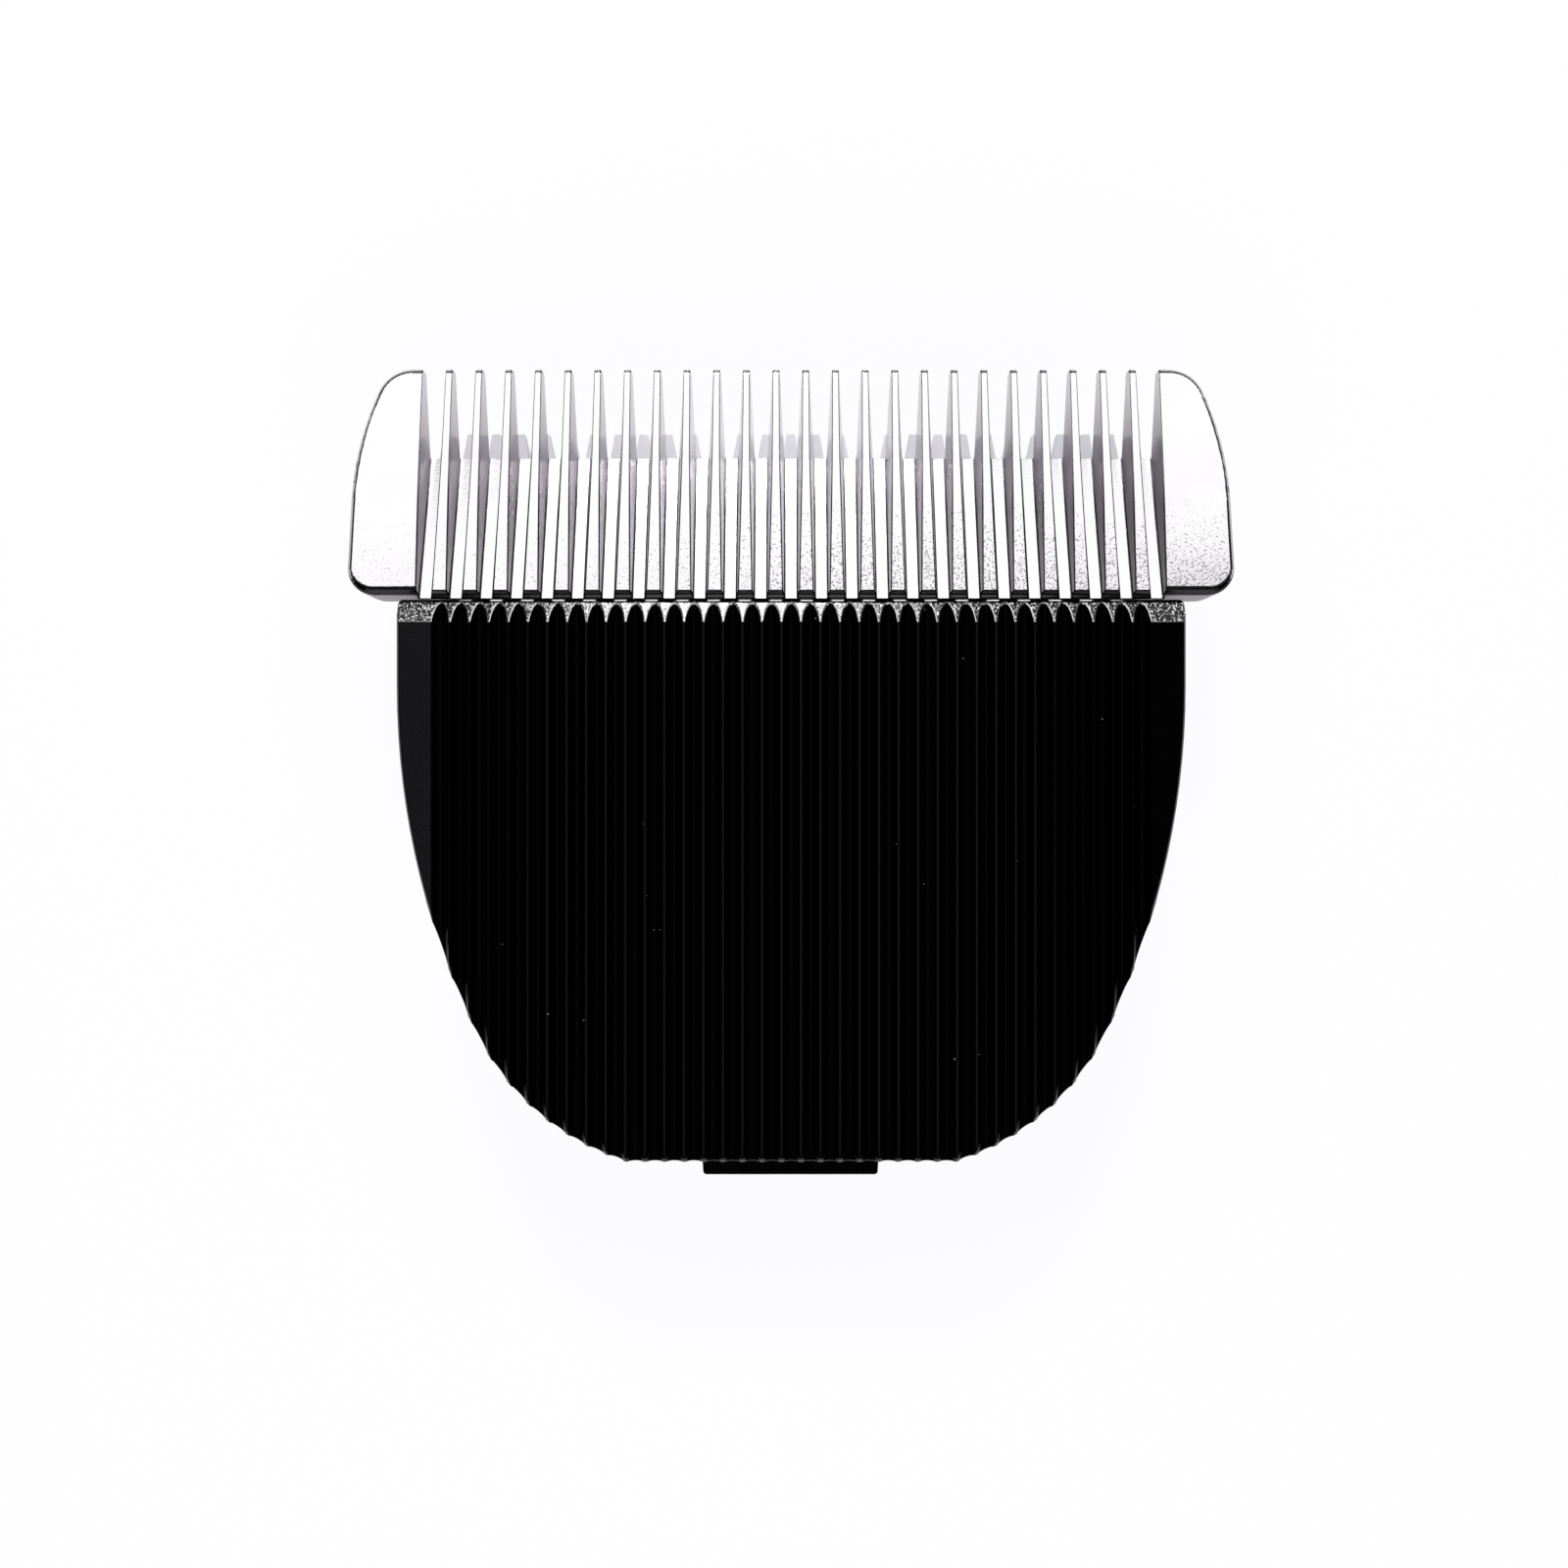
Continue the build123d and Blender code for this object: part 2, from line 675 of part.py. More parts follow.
def make_screw(x):
    """Pan-head screw with a cross recess, head down under the flange."""
    head_z = blade_plane - screw_head_height
    end_z = screw_hole_z - screw_end_gap
    outline = [
        Line((0, head_z), (screw_head_radius / 2, head_z)),
        RadiusArc(
            (screw_head_radius / 2, head_z), (screw_head_radius, head_z + screw_head_dome), -screw_head_dome * 3
        ),
        Polyline(
            (screw_head_radius, head_z + screw_head_dome),
            (screw_head_radius, blade_plane),
            (screw_radius, blade_plane),
            (screw_radius, end_z),
            (0, end_z),
            (0, head_z),
        ),
    ]
    screw = revolve(Plane.XZ * make_face(outline), Axis.Z)
    recess = Rectangle(cross_length, cross_width) + Rectangle(cross_width, cross_length)
    screw -= extrude(Pos(0, 0, head_z) * recess, cross_depth, taper=8)
    return Pos(x, screw_y, 0) * screw


def main():
    pieces = {
        "blade_base": make_base(),
        "fixed_blade": make_fixed_blade(),
        "moving_blade": make_moving_blade(),
        "cutter_carrier": make_carrier(),
        "depth_slide": make_depth_slide(),
        "pressure_spring": make_spring(),
        "blade_screw_left": make_screw(-screw_x),
        "blade_screw_right": make_screw(screw_x),
    }
    os.makedirs("parts", exist_ok=True)
    for name, solid in pieces.items():
        export_step(solid, f"parts/{name}.step")


main()
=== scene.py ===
import math

import bmesh
import bpy
from bpy.props import FloatProperty, FloatVectorProperty, IntProperty, PointerProperty
from bpy.types import Operator, Panel, PropertyGroup
from mathutils import Matrix, Vector


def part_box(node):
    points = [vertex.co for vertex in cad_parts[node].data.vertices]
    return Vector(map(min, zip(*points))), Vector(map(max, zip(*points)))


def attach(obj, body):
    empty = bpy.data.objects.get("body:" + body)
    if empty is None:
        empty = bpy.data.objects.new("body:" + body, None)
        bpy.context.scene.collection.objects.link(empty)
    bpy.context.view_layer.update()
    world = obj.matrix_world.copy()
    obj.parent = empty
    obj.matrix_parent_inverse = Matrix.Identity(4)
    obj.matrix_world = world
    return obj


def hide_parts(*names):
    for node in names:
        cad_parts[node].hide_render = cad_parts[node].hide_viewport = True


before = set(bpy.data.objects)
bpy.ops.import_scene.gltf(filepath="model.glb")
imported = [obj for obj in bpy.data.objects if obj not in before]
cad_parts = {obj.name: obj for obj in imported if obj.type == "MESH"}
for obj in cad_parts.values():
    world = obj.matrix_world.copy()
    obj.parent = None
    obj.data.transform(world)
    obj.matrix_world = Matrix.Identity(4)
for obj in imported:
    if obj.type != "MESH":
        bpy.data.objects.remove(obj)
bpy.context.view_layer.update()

bl_info = {
    "name": "Hair clipper blade",
    "version": (1, 0, 0),
    "blender": (4, 5, 0),
    "location": "View3D > Sidebar > Clipper Blade",
    "description": "Dresses a hair clipper blade: base, comb, cutter, carrier, slide, spring and screws",
    "category": "Object",
}

# Sizes are in metres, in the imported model's frame: X across the teeth, +Y towards their tips, Z up
mm = 0.001
base_low, base_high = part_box("blade_base")
comb_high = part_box("fixed_blade")[1]
cutter_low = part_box("moving_blade")[0]
spring_low, spring_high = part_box("pressure_spring")
screw_low, screw_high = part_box("blade_screw_right")


# Settings


def length(name, description, default):
    """A length that a user can change."""
    return FloatProperty(
        name=name, description=description, default=default, min=0.0, precision=6, unit="LENGTH",
        subtype="DISTANCE",
    )


def offset(name, description, default):
    """A length to either side that a user can change."""
    return FloatProperty(
        name=name, description=description, default=default, precision=6, unit="LENGTH", subtype="DISTANCE"
    )


def amount(name, description, default):
    """A plain number that a user can change."""
    return FloatProperty(name=name, description=description, default=default, min=0.0)


def number(name, description, default):
    """A whole number that a user can change."""
    return IntProperty(name=name, description=description, default=default, min=1)


def colour(name, description, default):
    """A colour that a user can change."""
    return FloatVectorProperty(
        name=name, description=description, default=default, size=3, min=0.0, max=1.0, subtype="COLOR"
    )


def angle(name, description, degrees):
    """An angle that a user can change."""
    return FloatProperty(
        name=name, description=description, default=math.radians(degrees), unit="ROTATION", subtype="ANGLE"
    )


class EdgeSizes(PropertyGroup):
    """Rounding of the edges that a mould, a grinding wheel or a kiln leaves."""

    fluted: length("Fluted edges", "Rounding of the edges of the fluted base", 0.035 * mm)
    moulded: length("Moulded edges", "Rounding of the edges of the inner mouldings", 0.06 * mm)
    ground: length("Ground edges", "Rounding of the edges of the steel comb", 0.06 * mm)
    fired: length("Fired edges", "Rounding of the edges of the ceramic cutter", 0.03 * mm)
    segments: number("Segments", "Faces across a rounded edge", 2)
    sharp_angle: angle("Sharp from", "Edges that turn by more than this are rounded", 19.0)
    flat_angle: angle("Flat below", "Faces that turn by less than this are joined", 0.4)
    turned_angle: angle("Sharp on wire", "Wire and screw edges that turn by more than this stay sharp", 34.0)
    weld: length("Weld", "Corners nearer than this are made one", 0.0005 * mm)
    room: amount("Room", "Rounded where both faces are this many times as wide as the rounding", 1.5)


class NoseSizes(PropertyGroup):
    """Fluted face of the base, its tongue and its sloped nose, ahead of which the comb starts."""

    reach: length("Comb reach", "From the tooth tips back to the base", 12.9 * mm)
    bevel_length: length("Bevel length", "Length of the sloped nose", 1.2 * mm)
    bevel_drop: length("Bevel drop", "How far the nose slopes down", 0.45 * mm)
    lip_width: length("Lip width", "Width of the plain lip along the front of the nose", 0.19 * mm)
    # The painted glints on the nose end over this width at the lip
    lip_fade: length("Lip fade", "Width over which the scuffs end at the lip", 0.06 * mm)
    flute_count: number("Flutes", "Number of flutes in the face", 37)
    flute_pitch: length("Flute pitch", "From the middle of a flute to the middle of the next", 1.0 * mm)
    flute_depth: length("Flute depth", "Depth of a flute", 0.4 * mm)
    tongue_length: length("Tongue length", "Length of the tongue behind the face", 3.0 * mm)


class CombSizes(PropertyGroup):
    """Row of teeth of the comb."""

    tooth_count: number("Teeth", "Number of narrow teeth", 24)
    tooth_pitch: length("Tooth pitch", "From the middle of a tooth to the middle of the next", 1.6 * mm)
    tip_radius: length("Tip radius", "Rounding of the tip of a tooth", 0.2 * mm)
    rim_width: length("Rim width", "Width of the dark rim of a tip", 0.09 * mm)
    rim_fade: length("Rim fade", "Width over which the rim darkens", 0.04 * mm)
    guard_fade: length("Guard fade", "Width over which the finish of the teeth ends at the guards", 0.2 * mm)


class SpringSizes(PropertyGroup):
    """Double torsion spring that presses the cutter on the comb."""

    wire_radius: length("Wire radius", "Half the thickness of the wire", 0.35 * mm)
    wire_sides: number("Wire sides", "Faces round the wire", 24)
    smoothness: number("Smoothness", "Steps between the points of the path", 6)
    turn_steps: number("Turn steps", "Points of the path in one turn", 12)
    coil_turns: number("Coil turns", "Whole turns of each coil", 2)
    coil_pitch: length("Coil pitch", "Step of the wire in one turn", 0.75 * mm)
    coil_radius: length("Coil radius", "From the spindle to the middle of the wire", 1.8 * mm)
    coil_inner: length("Coil start", "From the middle of the blade to the first turn", 7.2 * mm)
    bight_setback: length("Bight setback", "From the bridge of the spring to the spindle", 3.3 * mm)
    toe_length: length("Toe length", "Length of the turned-out end", 1.3 * mm)
    toe_bend: length("Toe bend", "Size of the bend before the toe", 0.8 * mm)
    toe_drop: length("Toe drop", "From the underside of the cutter to the middle of the toe", 2.0 * mm)


class ScrewSizes(PropertyGroup):
    """Pan-head cross screws that hold the comb on the base."""

    count: number("Screws", "Number of screws in the row", 2)
    sides: number("Sides", "Faces round the head and the shank", 48)
    weld: length("Weld", "Corners nearer than this are made one", 0.001 * mm)
    crest_radius: length("Crest radius", "Half the thickness over the thread", 1.0 * mm)
    root_radius: length("Root radius", "Half the thickness between the threads", 0.78 * mm)
    pitch: length("Pitch", "Step of the thread in one turn", 0.8 * mm)
    thread_steps: number("Thread steps", "Points of the thread in one turn", 40)
    head_height: length("Head height", "Height of the head", 1.3 * mm)
    head_dome: length("Head dome", "Height of the rounded edge of the head", 0.5 * mm)
    dome_radius: length("Dome radius", "Rounding of the edge of the head", 1.5 * mm)
    dome_steps: number("Dome steps", "Steps of the rounded edge of the head", 6)
    tip_chamfer: length("Tip chamfer", "Chamfer at the end of the shank", 0.25 * mm)
    cross_width: length("Cross width", "Width of each arm of the recess", 0.5 * mm)
    cross_length: length("Cross length", "Length of each arm of the recess", 2.2 * mm)
    cross_depth: length("Cross depth", "Depth of the recess", 0.8 * mm)
    turn: angle("Turn", "How far a screw may stand turned from the next", 60.0)
    seed: number("Seed", "Picks how each screw stands turned", 4)


class Finishes(PropertyGroup):
    """Colours of the finishes."""

    # Painted sheen: the left margin drawn in a lighter black where it catches the light
    painted_sheen_black: colour("Margin black", "Rubbed black of the left margin", (0.0125, 0.0118, 0.0132))
    moulded_black: colour("Base black", "Moulded black of the base", (0.0004, 0.00035, 0.0004))
    inner_black: colour("Inner black", "Moulded black of the carrier and the slide", (0.011, 0.011, 0.012))
    dust: colour("Dust", "Pale specks on the base", (0.55, 0.55, 0.56))
    # Painted glints and reflections: the pale of the glints on the nose, of the teeth mirrored on its lip and
    # of the lit arch edges
    painted_glint: colour("Scuffs", "Pale scuffs on the nose of the base", (0.88, 0.88, 0.89))
    steel: colour("Steel", "Polished steel of the comb", (0.60, 0.59, 0.61))
    wall_steel: colour("Ground steel", "Steel in the ground grooves", (0.42, 0.39, 0.42))
    # Painted light: the lighter steel of the walls in the middle and towards the tips, of the teeth's rear
    # faces and of the front edges
    painted_light_steel: colour("Light wall", "Ground steel in the middle of the comb", (0.74, 0.72, 0.75))
    # Painted shade on the rounded edges and on the walls to the right, and the real dark of the flecks on the
    # tops
    fleck_and_shade_steel: colour("Edge steel", "Steel on the edges and in the flecks of the comb", (0.06, 0.056, 0.06))
    # Painted shade at the seam, the tip rims, the guards' heels and the land behind the teeth
    painted_shade: colour("Grime", "Dark grime where the comb meets the base", (0.02, 0.019, 0.02))
    ceramic: colour("Ceramic", "Fired white of the cutter", (0.96, 0.95, 1.0))
    wire: colour("Wire", "Drawn spring wire", (0.60, 0.60, 0.62))
    zinc: colour("Zinc", "Plating of the screws", (0.62, 0.62, 0.60))
    floor: colour("Floor", "Floor under the blade", (0.982, 0.982, 1.0))


class WearSizes(PropertyGroup):
    """Where painted glints, painted reflections, painted highlights, flecks, painted light and painted shade
    lie: to the right of the blade's middle line, or ahead of the seam.
    """

    # Painted glints on the nose: where they lie thickest and how far out they thin
    glint_line: offset("Scuff line", "Where the nose is scuffed most", -4.0 * mm)
    glint_core: length("Scuff core", "Scuffs are thickest this near to that line", 3.0 * mm)
    glint_reach: length("Scuff reach", "Scuffs are thin this far from that line", 9.0 * mm)
    # Painted reflections of the teeth on the lip: where they fade out to the sides
    reflection_core: length("Mark core", "Marks behind the teeth fade from here on to the sides", 15.0 * mm)
    reflection_reach: length("Mark reach", "Marks behind the teeth end here to the sides", 18.0 * mm)
    # Painted highlight on the arch edges that face the middle
    highlight_scale: length("Rub scale", "Arches this far out count in full as facing the middle", 10.0 * mm)
    fleck_left: offset("Fleck left", "Flecks on the comb are few to the left of this", -12.0 * mm)
    fleck_right: offset("Fleck right", "Flecks on the comb are thickest to the right of this", 6.0 * mm)
    fleck_rear: length("Fleck rear", "Flecks thin out ahead of this", 1.0 * mm)
    fleck_front: length("Fleck front", "Flecks end here", 6.5 * mm)
    # Painted light and painted shade on the walls of the teeth
    light_line: offset("Light line", "Where the walls of the teeth are lightest", -1.0 * mm)
    light_core: length("Light core", "Walls are lightest this near to that line", 3.0 * mm)
    light_reach: length("Light reach", "Walls have their own steel this far from that line", 13.0 * mm)
    shade_left: offset("Shade left", "Walls darken to the right of this", 6.0 * mm)
    shade_right: offset("Shade right", "Walls are darkest to the right of this", 18.0 * mm)
    # Painted shade on the land behind the teeth
    land_shade_rear: length("Caked rear", "Grime behind the teeth is thick up to here", 0.24 * mm)
    land_shade_front: length("Caked front", "Grime behind the teeth is thin from here on", 0.42 * mm)


class StageSizes(PropertyGroup):
    """Camera, floor, lamps and room."""

    camera_height: length("Camera height", "Height of the camera over the floor", 73.0 * mm)
    camera_shift: offset("Camera place", "Camera to the right of the middle", -0.37 * mm)
    camera_near: length("Camera near", "Nearest distance that the camera sees", 1.0 * mm)
    lens: amount("Lens", "Focal length in millimetres", 27.9)
    sensor: amount("Sensor", "Width of the sensor in millimetres", 36.0)
    floor_size: length("Floor size", "Side of the floor", 4.0)
    floor_drop: length("Floor drop", "From the rim of the base down to the floor", 0.02 * mm)
    floor_glow: amount("Floor glow", "Brightness of the floor to the camera", 1.028)
    floor_shade: amount("Floor shade", "Share of the light and shade that shows on the floor", 0.09)
    lamp_distance: length("Lamp distance", "From the blade to each lamp", 0.35)
    room_light: amount("Room light", "Brightness of the room at the horizon", 0.35)
    ceiling_light: amount("Ceiling light", "Brightness of the room overhead", 0.012)
    ceiling_start: amount("Ceiling start", "Sine of the height at which overhead starts", 0.35)


class BladeSettings(PropertyGroup):
    """All sizes and finishes of the dressed blade."""

    edges: PointerProperty(type=EdgeSizes)
    nose: PointerProperty(type=NoseSizes)
    comb: PointerProperty(type=CombSizes)
    spring: PointerProperty(type=SpringSizes)
    screws: PointerProperty(type=ScrewSizes)
    finishes: PointerProperty(type=Finishes)
    wear: PointerProperty(type=WearSizes)
    stage: PointerProperty(type=StageSizes)


# Node helpers


def set_inputs(tree, node, inputs):
    """Sets a node's inputs; each is a value, another node's output or a list of outputs."""
    for key, value in inputs.items():
        sources = value if isinstance(value, list) else [value]
        for source in sources:
            if isinstance(source, bpy.types.NodeSocket):
                tree.links.new(source, node.inputs[key])
            else:
                node.inputs[key].default_value = source


def add_node(tree, kind, inputs=None, **settings):
    """A new node with its settings and inputs."""
    node = tree.nodes.new(kind)
    for key, value in settings.items():
        setattr(node, key, value)
    set_inputs(tree, node, inputs or {})
    return node


def result(tree, kind, inputs=None, **settings):
    """The first output of a new node."""
    return add_node(tree, kind, inputs, **settings).outputs[0]


def calc(tree, operation, first, second=0.0):
    """One sum on one or two values."""
    return result(tree, "ShaderNodeMath", {0: first, 1: second}, operation=operation)


def times(tree, first, *others):
    """The product of some values."""
    for other in others:
        first = calc(tree, "MULTIPLY", first, other)
    return first


def span(tree, value, low, high, to_low=0.0, to_high=1.0):
    """A value carried smoothly from one range to another."""
    inputs = {"Value": value, "From Min": low, "From Max": high, "To Min": to_low, "To Max": to_high}
    return result(tree, "ShaderNodeMapRange", inputs, interpolation_type="SMOOTHSTEP")


def fade(tree, value, low, high):
    """A share that falls smoothly from 1 below the range to 0 above it."""
    return span(tree, value, low, high, 1.0, 0.0)


def noise(tree, place, size, detail=3.0, stretch=(1.0, 1.0, 1.0)):
    """Noise with features of about the given size, drawn out along the axes by the stretch."""
    shrink = tuple(1.0 / share for share in stretch)
    drawn = result(tree, "ShaderNodeMapping", {"Vector": place, "Scale": shrink})
    return result(tree, "ShaderNodeTexNoise", {"Vector": drawn, "Scale": 1.0 / size, "Detail": detail})


def spread(tree, cloud, low, high):
    """Noise, most of which lies between 0.3 and 0.7, carried to another range."""
    return span(tree, cloud, 0.3, 0.7, low, high)


def mix(tree, share, first, second):
    """A blend of two colours, each a value or another node's output."""
    inputs = {0: share}

    # The node has its two colours at inputs 6 and 7, and their blend at output 2
    for socket, end in ((6, first), (7, second)):
        inputs[socket] = end if isinstance(end, bpy.types.NodeSocket) else (*end, 1.0)
    return add_node(tree, "ShaderNodeMix", inputs, data_type="RGBA").outputs[2]


def bump(tree, height, depth, strength=1.0, under=None):
    """Relief of the given depth, on top of another relief if there is one."""
    inputs = {"Height": height, "Distance": depth, "Strength": strength}
    if under is not None:
        inputs["Normal"] = under
    return result(tree, "ShaderNodeBump", inputs)


def axes(tree, vector):
    """The X, Y and Z of a vector."""
    return add_node(tree, "ShaderNodeSeparateXYZ", {0: vector}).outputs


def from_line(tree, spot, line_x=0.0):
    """How far a point lies to either side of a line along the blade."""
    return calc(tree, "ABSOLUTE", calc(tree, "SUBTRACT", spot["X"], line_x))


def new_finish(name):
    """A material with its node tree, its surface node and the place on the piece."""
    material = bpy.data.materials.new(name)
    material.use_nodes = True
    tree = material.node_tree
    place = add_node(tree, "ShaderNodeTexCoord").outputs["Object"]
    return material, tree, tree.nodes["Principled BSDF"], place


# Parts of the base and the comb that finishes pick out


def seam_place(settings):
    """Where the base ends and the comb starts, along the blade."""
    return comb_high.y - settings.nose.reach


def lip_share(tree, run, nose):
    """Share of a point that lies on the plain lip along the front of the nose."""
    start = nose.bevel_length - nose.lip_width
    return span(tree, run, start, start + nose.lip_fade)


def nose_share(tree, spot, settings):
    """Share of a point that lies along the sloped nose, behind its lip, and how far along the nose it is."""
    nose = settings.nose
    run = calc(tree, "SUBTRACT", spot["Y"], seam_place(settings) - nose.bevel_length)
    behind_lip = calc(tree, "SUBTRACT", 1.0, lip_share(tree, run, nose))
    return times(tree, span(tree, run, -0.02 * mm, 0.03 * mm), behind_lip), run


def beside_tooth(tree, spot, settings):
    """Distance of a point from the middle line of the nearest tooth, as a share of the pitch."""
    place = calc(tree, "FRACT", calc(tree, "DIVIDE", spot["X"], settings.comb.tooth_pitch))
    return calc(tree, "ABSOLUTE", calc(tree, "SUBTRACT", place, 0.5))


def behind_tooth(tree, spot, settings):
    """Share of a point that lies in line with the middle of a tooth, away from the guards."""
    wear = settings.wear
    inside = fade(tree, from_line(tree, spot), wear.reflection_core, wear.reflection_reach)
    return times(tree, fade(tree, beside_tooth(tree, spot, settings), 0.16, 0.22), inside)


def guard_start(settings):
    """Where the finish of the teeth starts to end and where it ends, to each side of the middle."""
    comb = settings.comb
    teeth_half = comb.tooth_count * comb.tooth_pitch / 2
    return teeth_half - comb.guard_fade, teeth_half


def tip_rim(tree, spot, settings):
    """Share of a point that lies on the rim of a rounded tooth tip, or of the front of a guard."""
    comb = settings.comb
    ahead = calc(tree, "SUBTRACT", spot["Y"], comb_high.y - comb.tip_radius)
    on_teeth = fade(tree, from_line(tree, spot), *guard_start(settings))
    aside = times(tree, beside_tooth(tree, spot, settings), comb.tooth_pitch, on_teeth)
    away = calc(tree, "SQRT", calc(tree, "ADD", times(tree, ahead, ahead), times(tree, aside, aside)))
    inner = comb.tip_radius - comb.rim_width
    return times(tree, span(tree, away, inner, inner + comb.rim_fade), span(tree, ahead, 0.0, 0.02 * mm))


# Finishes


def base_finish(settings):
    """Moulded black with a fine grain and pale specks of dust; a painted sheen on the left margin; the nose
    that slopes to the comb is spark-eroded, with painted glints on its slope and painted reflections of the
    teeth on its lip.
    """
    material, tree, surface, place = new_finish("moulded_base_black")
    finishes, nose, wear = settings.finishes, settings.nose, settings.wear
    spot = axes(tree, place)
    grain = noise(tree, place, 0.11 * mm, 2.0)

    # Share of a point on the slope itself, which is none in the flutes and on the face
    along_nose, run = nose_share(tree, spot, settings)
    level = calc(tree, "SUBTRACT", base_high.z, times(tree, run, nose.bevel_drop / nose.bevel_length))
    off = calc(tree, "ABSOLUTE", calc(tree, "SUBTRACT", spot["Z"], level))
    on_nose = times(tree, along_nose, fade(tree, off, 0.02 * mm, 0.05 * mm))
    near_nose = fade(tree, off, 0.06 * mm, 0.10 * mm)

    # Painted sheen on the left margin, specks of dust, painted glints on the slope and painted reflections of
    # the teeth on the lip behind them
    margin_x = -nose.flute_count * nose.flute_pitch / 2
    margin = fade(tree, spot["X"], margin_x, margin_x + 0.1 * mm)
    margin = times(tree, margin, span(tree, grain, 0.2, 0.8, 0.6, 1.0))
    tone = mix(tree, margin, finishes.moulded_black, finishes.painted_sheen_black)
    specks = span(tree, noise(tree, place, 0.35 * mm, 1.0), 0.82, 0.85)
    tone = mix(tree, specks, tone, finishes.dust)
    beside_line = from_line(tree, spot, wear.glint_line)
    thicker = span(tree, beside_line, wear.glint_core, wear.glint_reach, 0.14, 0.0)
    painted_glints = span(tree, calc(tree, "ADD", grain, thicker), 0.55, 0.60)
    teeth_reflections = span(tree, run, nose.bevel_length - 0.08 * mm, nose.bevel_length - 0.06 * mm)
    teeth_reflections = times(tree, teeth_reflections, near_nose, behind_tooth(tree, spot, settings))
    pale = calc(tree, "MAXIMUM", times(tree, painted_glints, on_nose), teeth_reflections)
    tone = mix(tree, pale, tone, finishes.painted_glint)

    # The lip doesn't shine, and the flutes' floors and the tongue shine less than the face
    shine = span(tree, times(tree, lip_share(tree, run, nose), near_nose), 0.0, 1.0, 0.5, 0.0)
    below = calc(tree, "SUBTRACT", base_high.z, spot["Z"])
    floor_end = nose.flute_depth + 0.05 * mm
    in_flute = times(
        tree, span(tree, below, 0.08 * mm, 0.25 * mm), fade(tree, below, floor_end, floor_end + 0.05 * mm),
        calc(tree, "SUBTRACT", 1.0, on_nose),
    )
    shine = times(tree, shine, span(tree, in_flute, 0.0, 1.0, 1.0, 0.25))
    face_end = base_low.y + nose.tongue_length
    on_face = span(tree, spot["Y"], face_end - 0.4 * mm, face_end - 0.2 * mm, 0.3, 1.0)

    clouds = noise(tree, place, 5.0 * mm, 4.0)
    coarse = times(tree, noise(tree, place, 0.12 * mm, 2.0), on_nose)
    set_inputs(tree, surface, {
        "Base Color": tone,
        "Roughness": calc(tree, "ADD", spread(tree, clouds, 0.08, 0.12), times(tree, grain, 0.03)),
        "Specular IOR Level": times(tree, shine, on_face),
        "Normal": bump(tree, coarse, 0.014 * mm, 1.0, bump(tree, grain, 0.0006 * mm)),
    })
    return material


def base_edge_finish(settings):
    """Moulded black on the rounded edges, with a painted highlight in pale patches on the arches of the nose
    that face the middle.
    """
    material, tree, surface, place = new_finish("moulded_edge_black")
    finishes = settings.finishes
    spot = axes(tree, place)
    facing = axes(tree, add_node(tree, "ShaderNodeNewGeometry").outputs["Normal"])
    inward = times(tree, facing["X"], calc(tree, "DIVIDE", spot["X"], -settings.wear.highlight_scale))
    patches = span(tree, noise(tree, place, 0.15 * mm, 2.0), 0.32, 0.48, 0.4, 1.0)
    along_nose = nose_share(tree, spot, settings)[0]
    # Painted highlight where an arch's edge faces the middle
    arch_highlight = times(tree, along_nose, span(tree, inward, -0.1, 0.25, 0.1, 1.0), patches)
    set_inputs(tree, surface, {
        "Base Color": mix(tree, arch_highlight, finishes.moulded_black, finishes.painted_glint),
        "Roughness": 0.12,
    })
    return material


def inner_finish(name, tone, dullness):
    """Plain satin moulding of the pieces under the base."""
    material, tree, surface, place = new_finish(name)
    grain = noise(tree, place, 0.09 * mm, 3.0)
    flow = noise(tree, place, 2.2 * mm, 4.0, (1.0, 2.5, 1.0))
    light = [min(1.0, 1.9 * part) for part in tone]
    dull = spread(tree, flow, dullness, dullness + 0.12)
    set_inputs(tree, surface, {
        "Base Color": mix(tree, span(tree, flow, 0.35, 0.7), tone, light),
        "Roughness": calc(tree, "ADD", dull, times(tree, grain, 0.06)),
        "Specular IOR Level": 0.35,
        "Normal": bump(tree, grain, 0.003 * mm),
    })
    return material


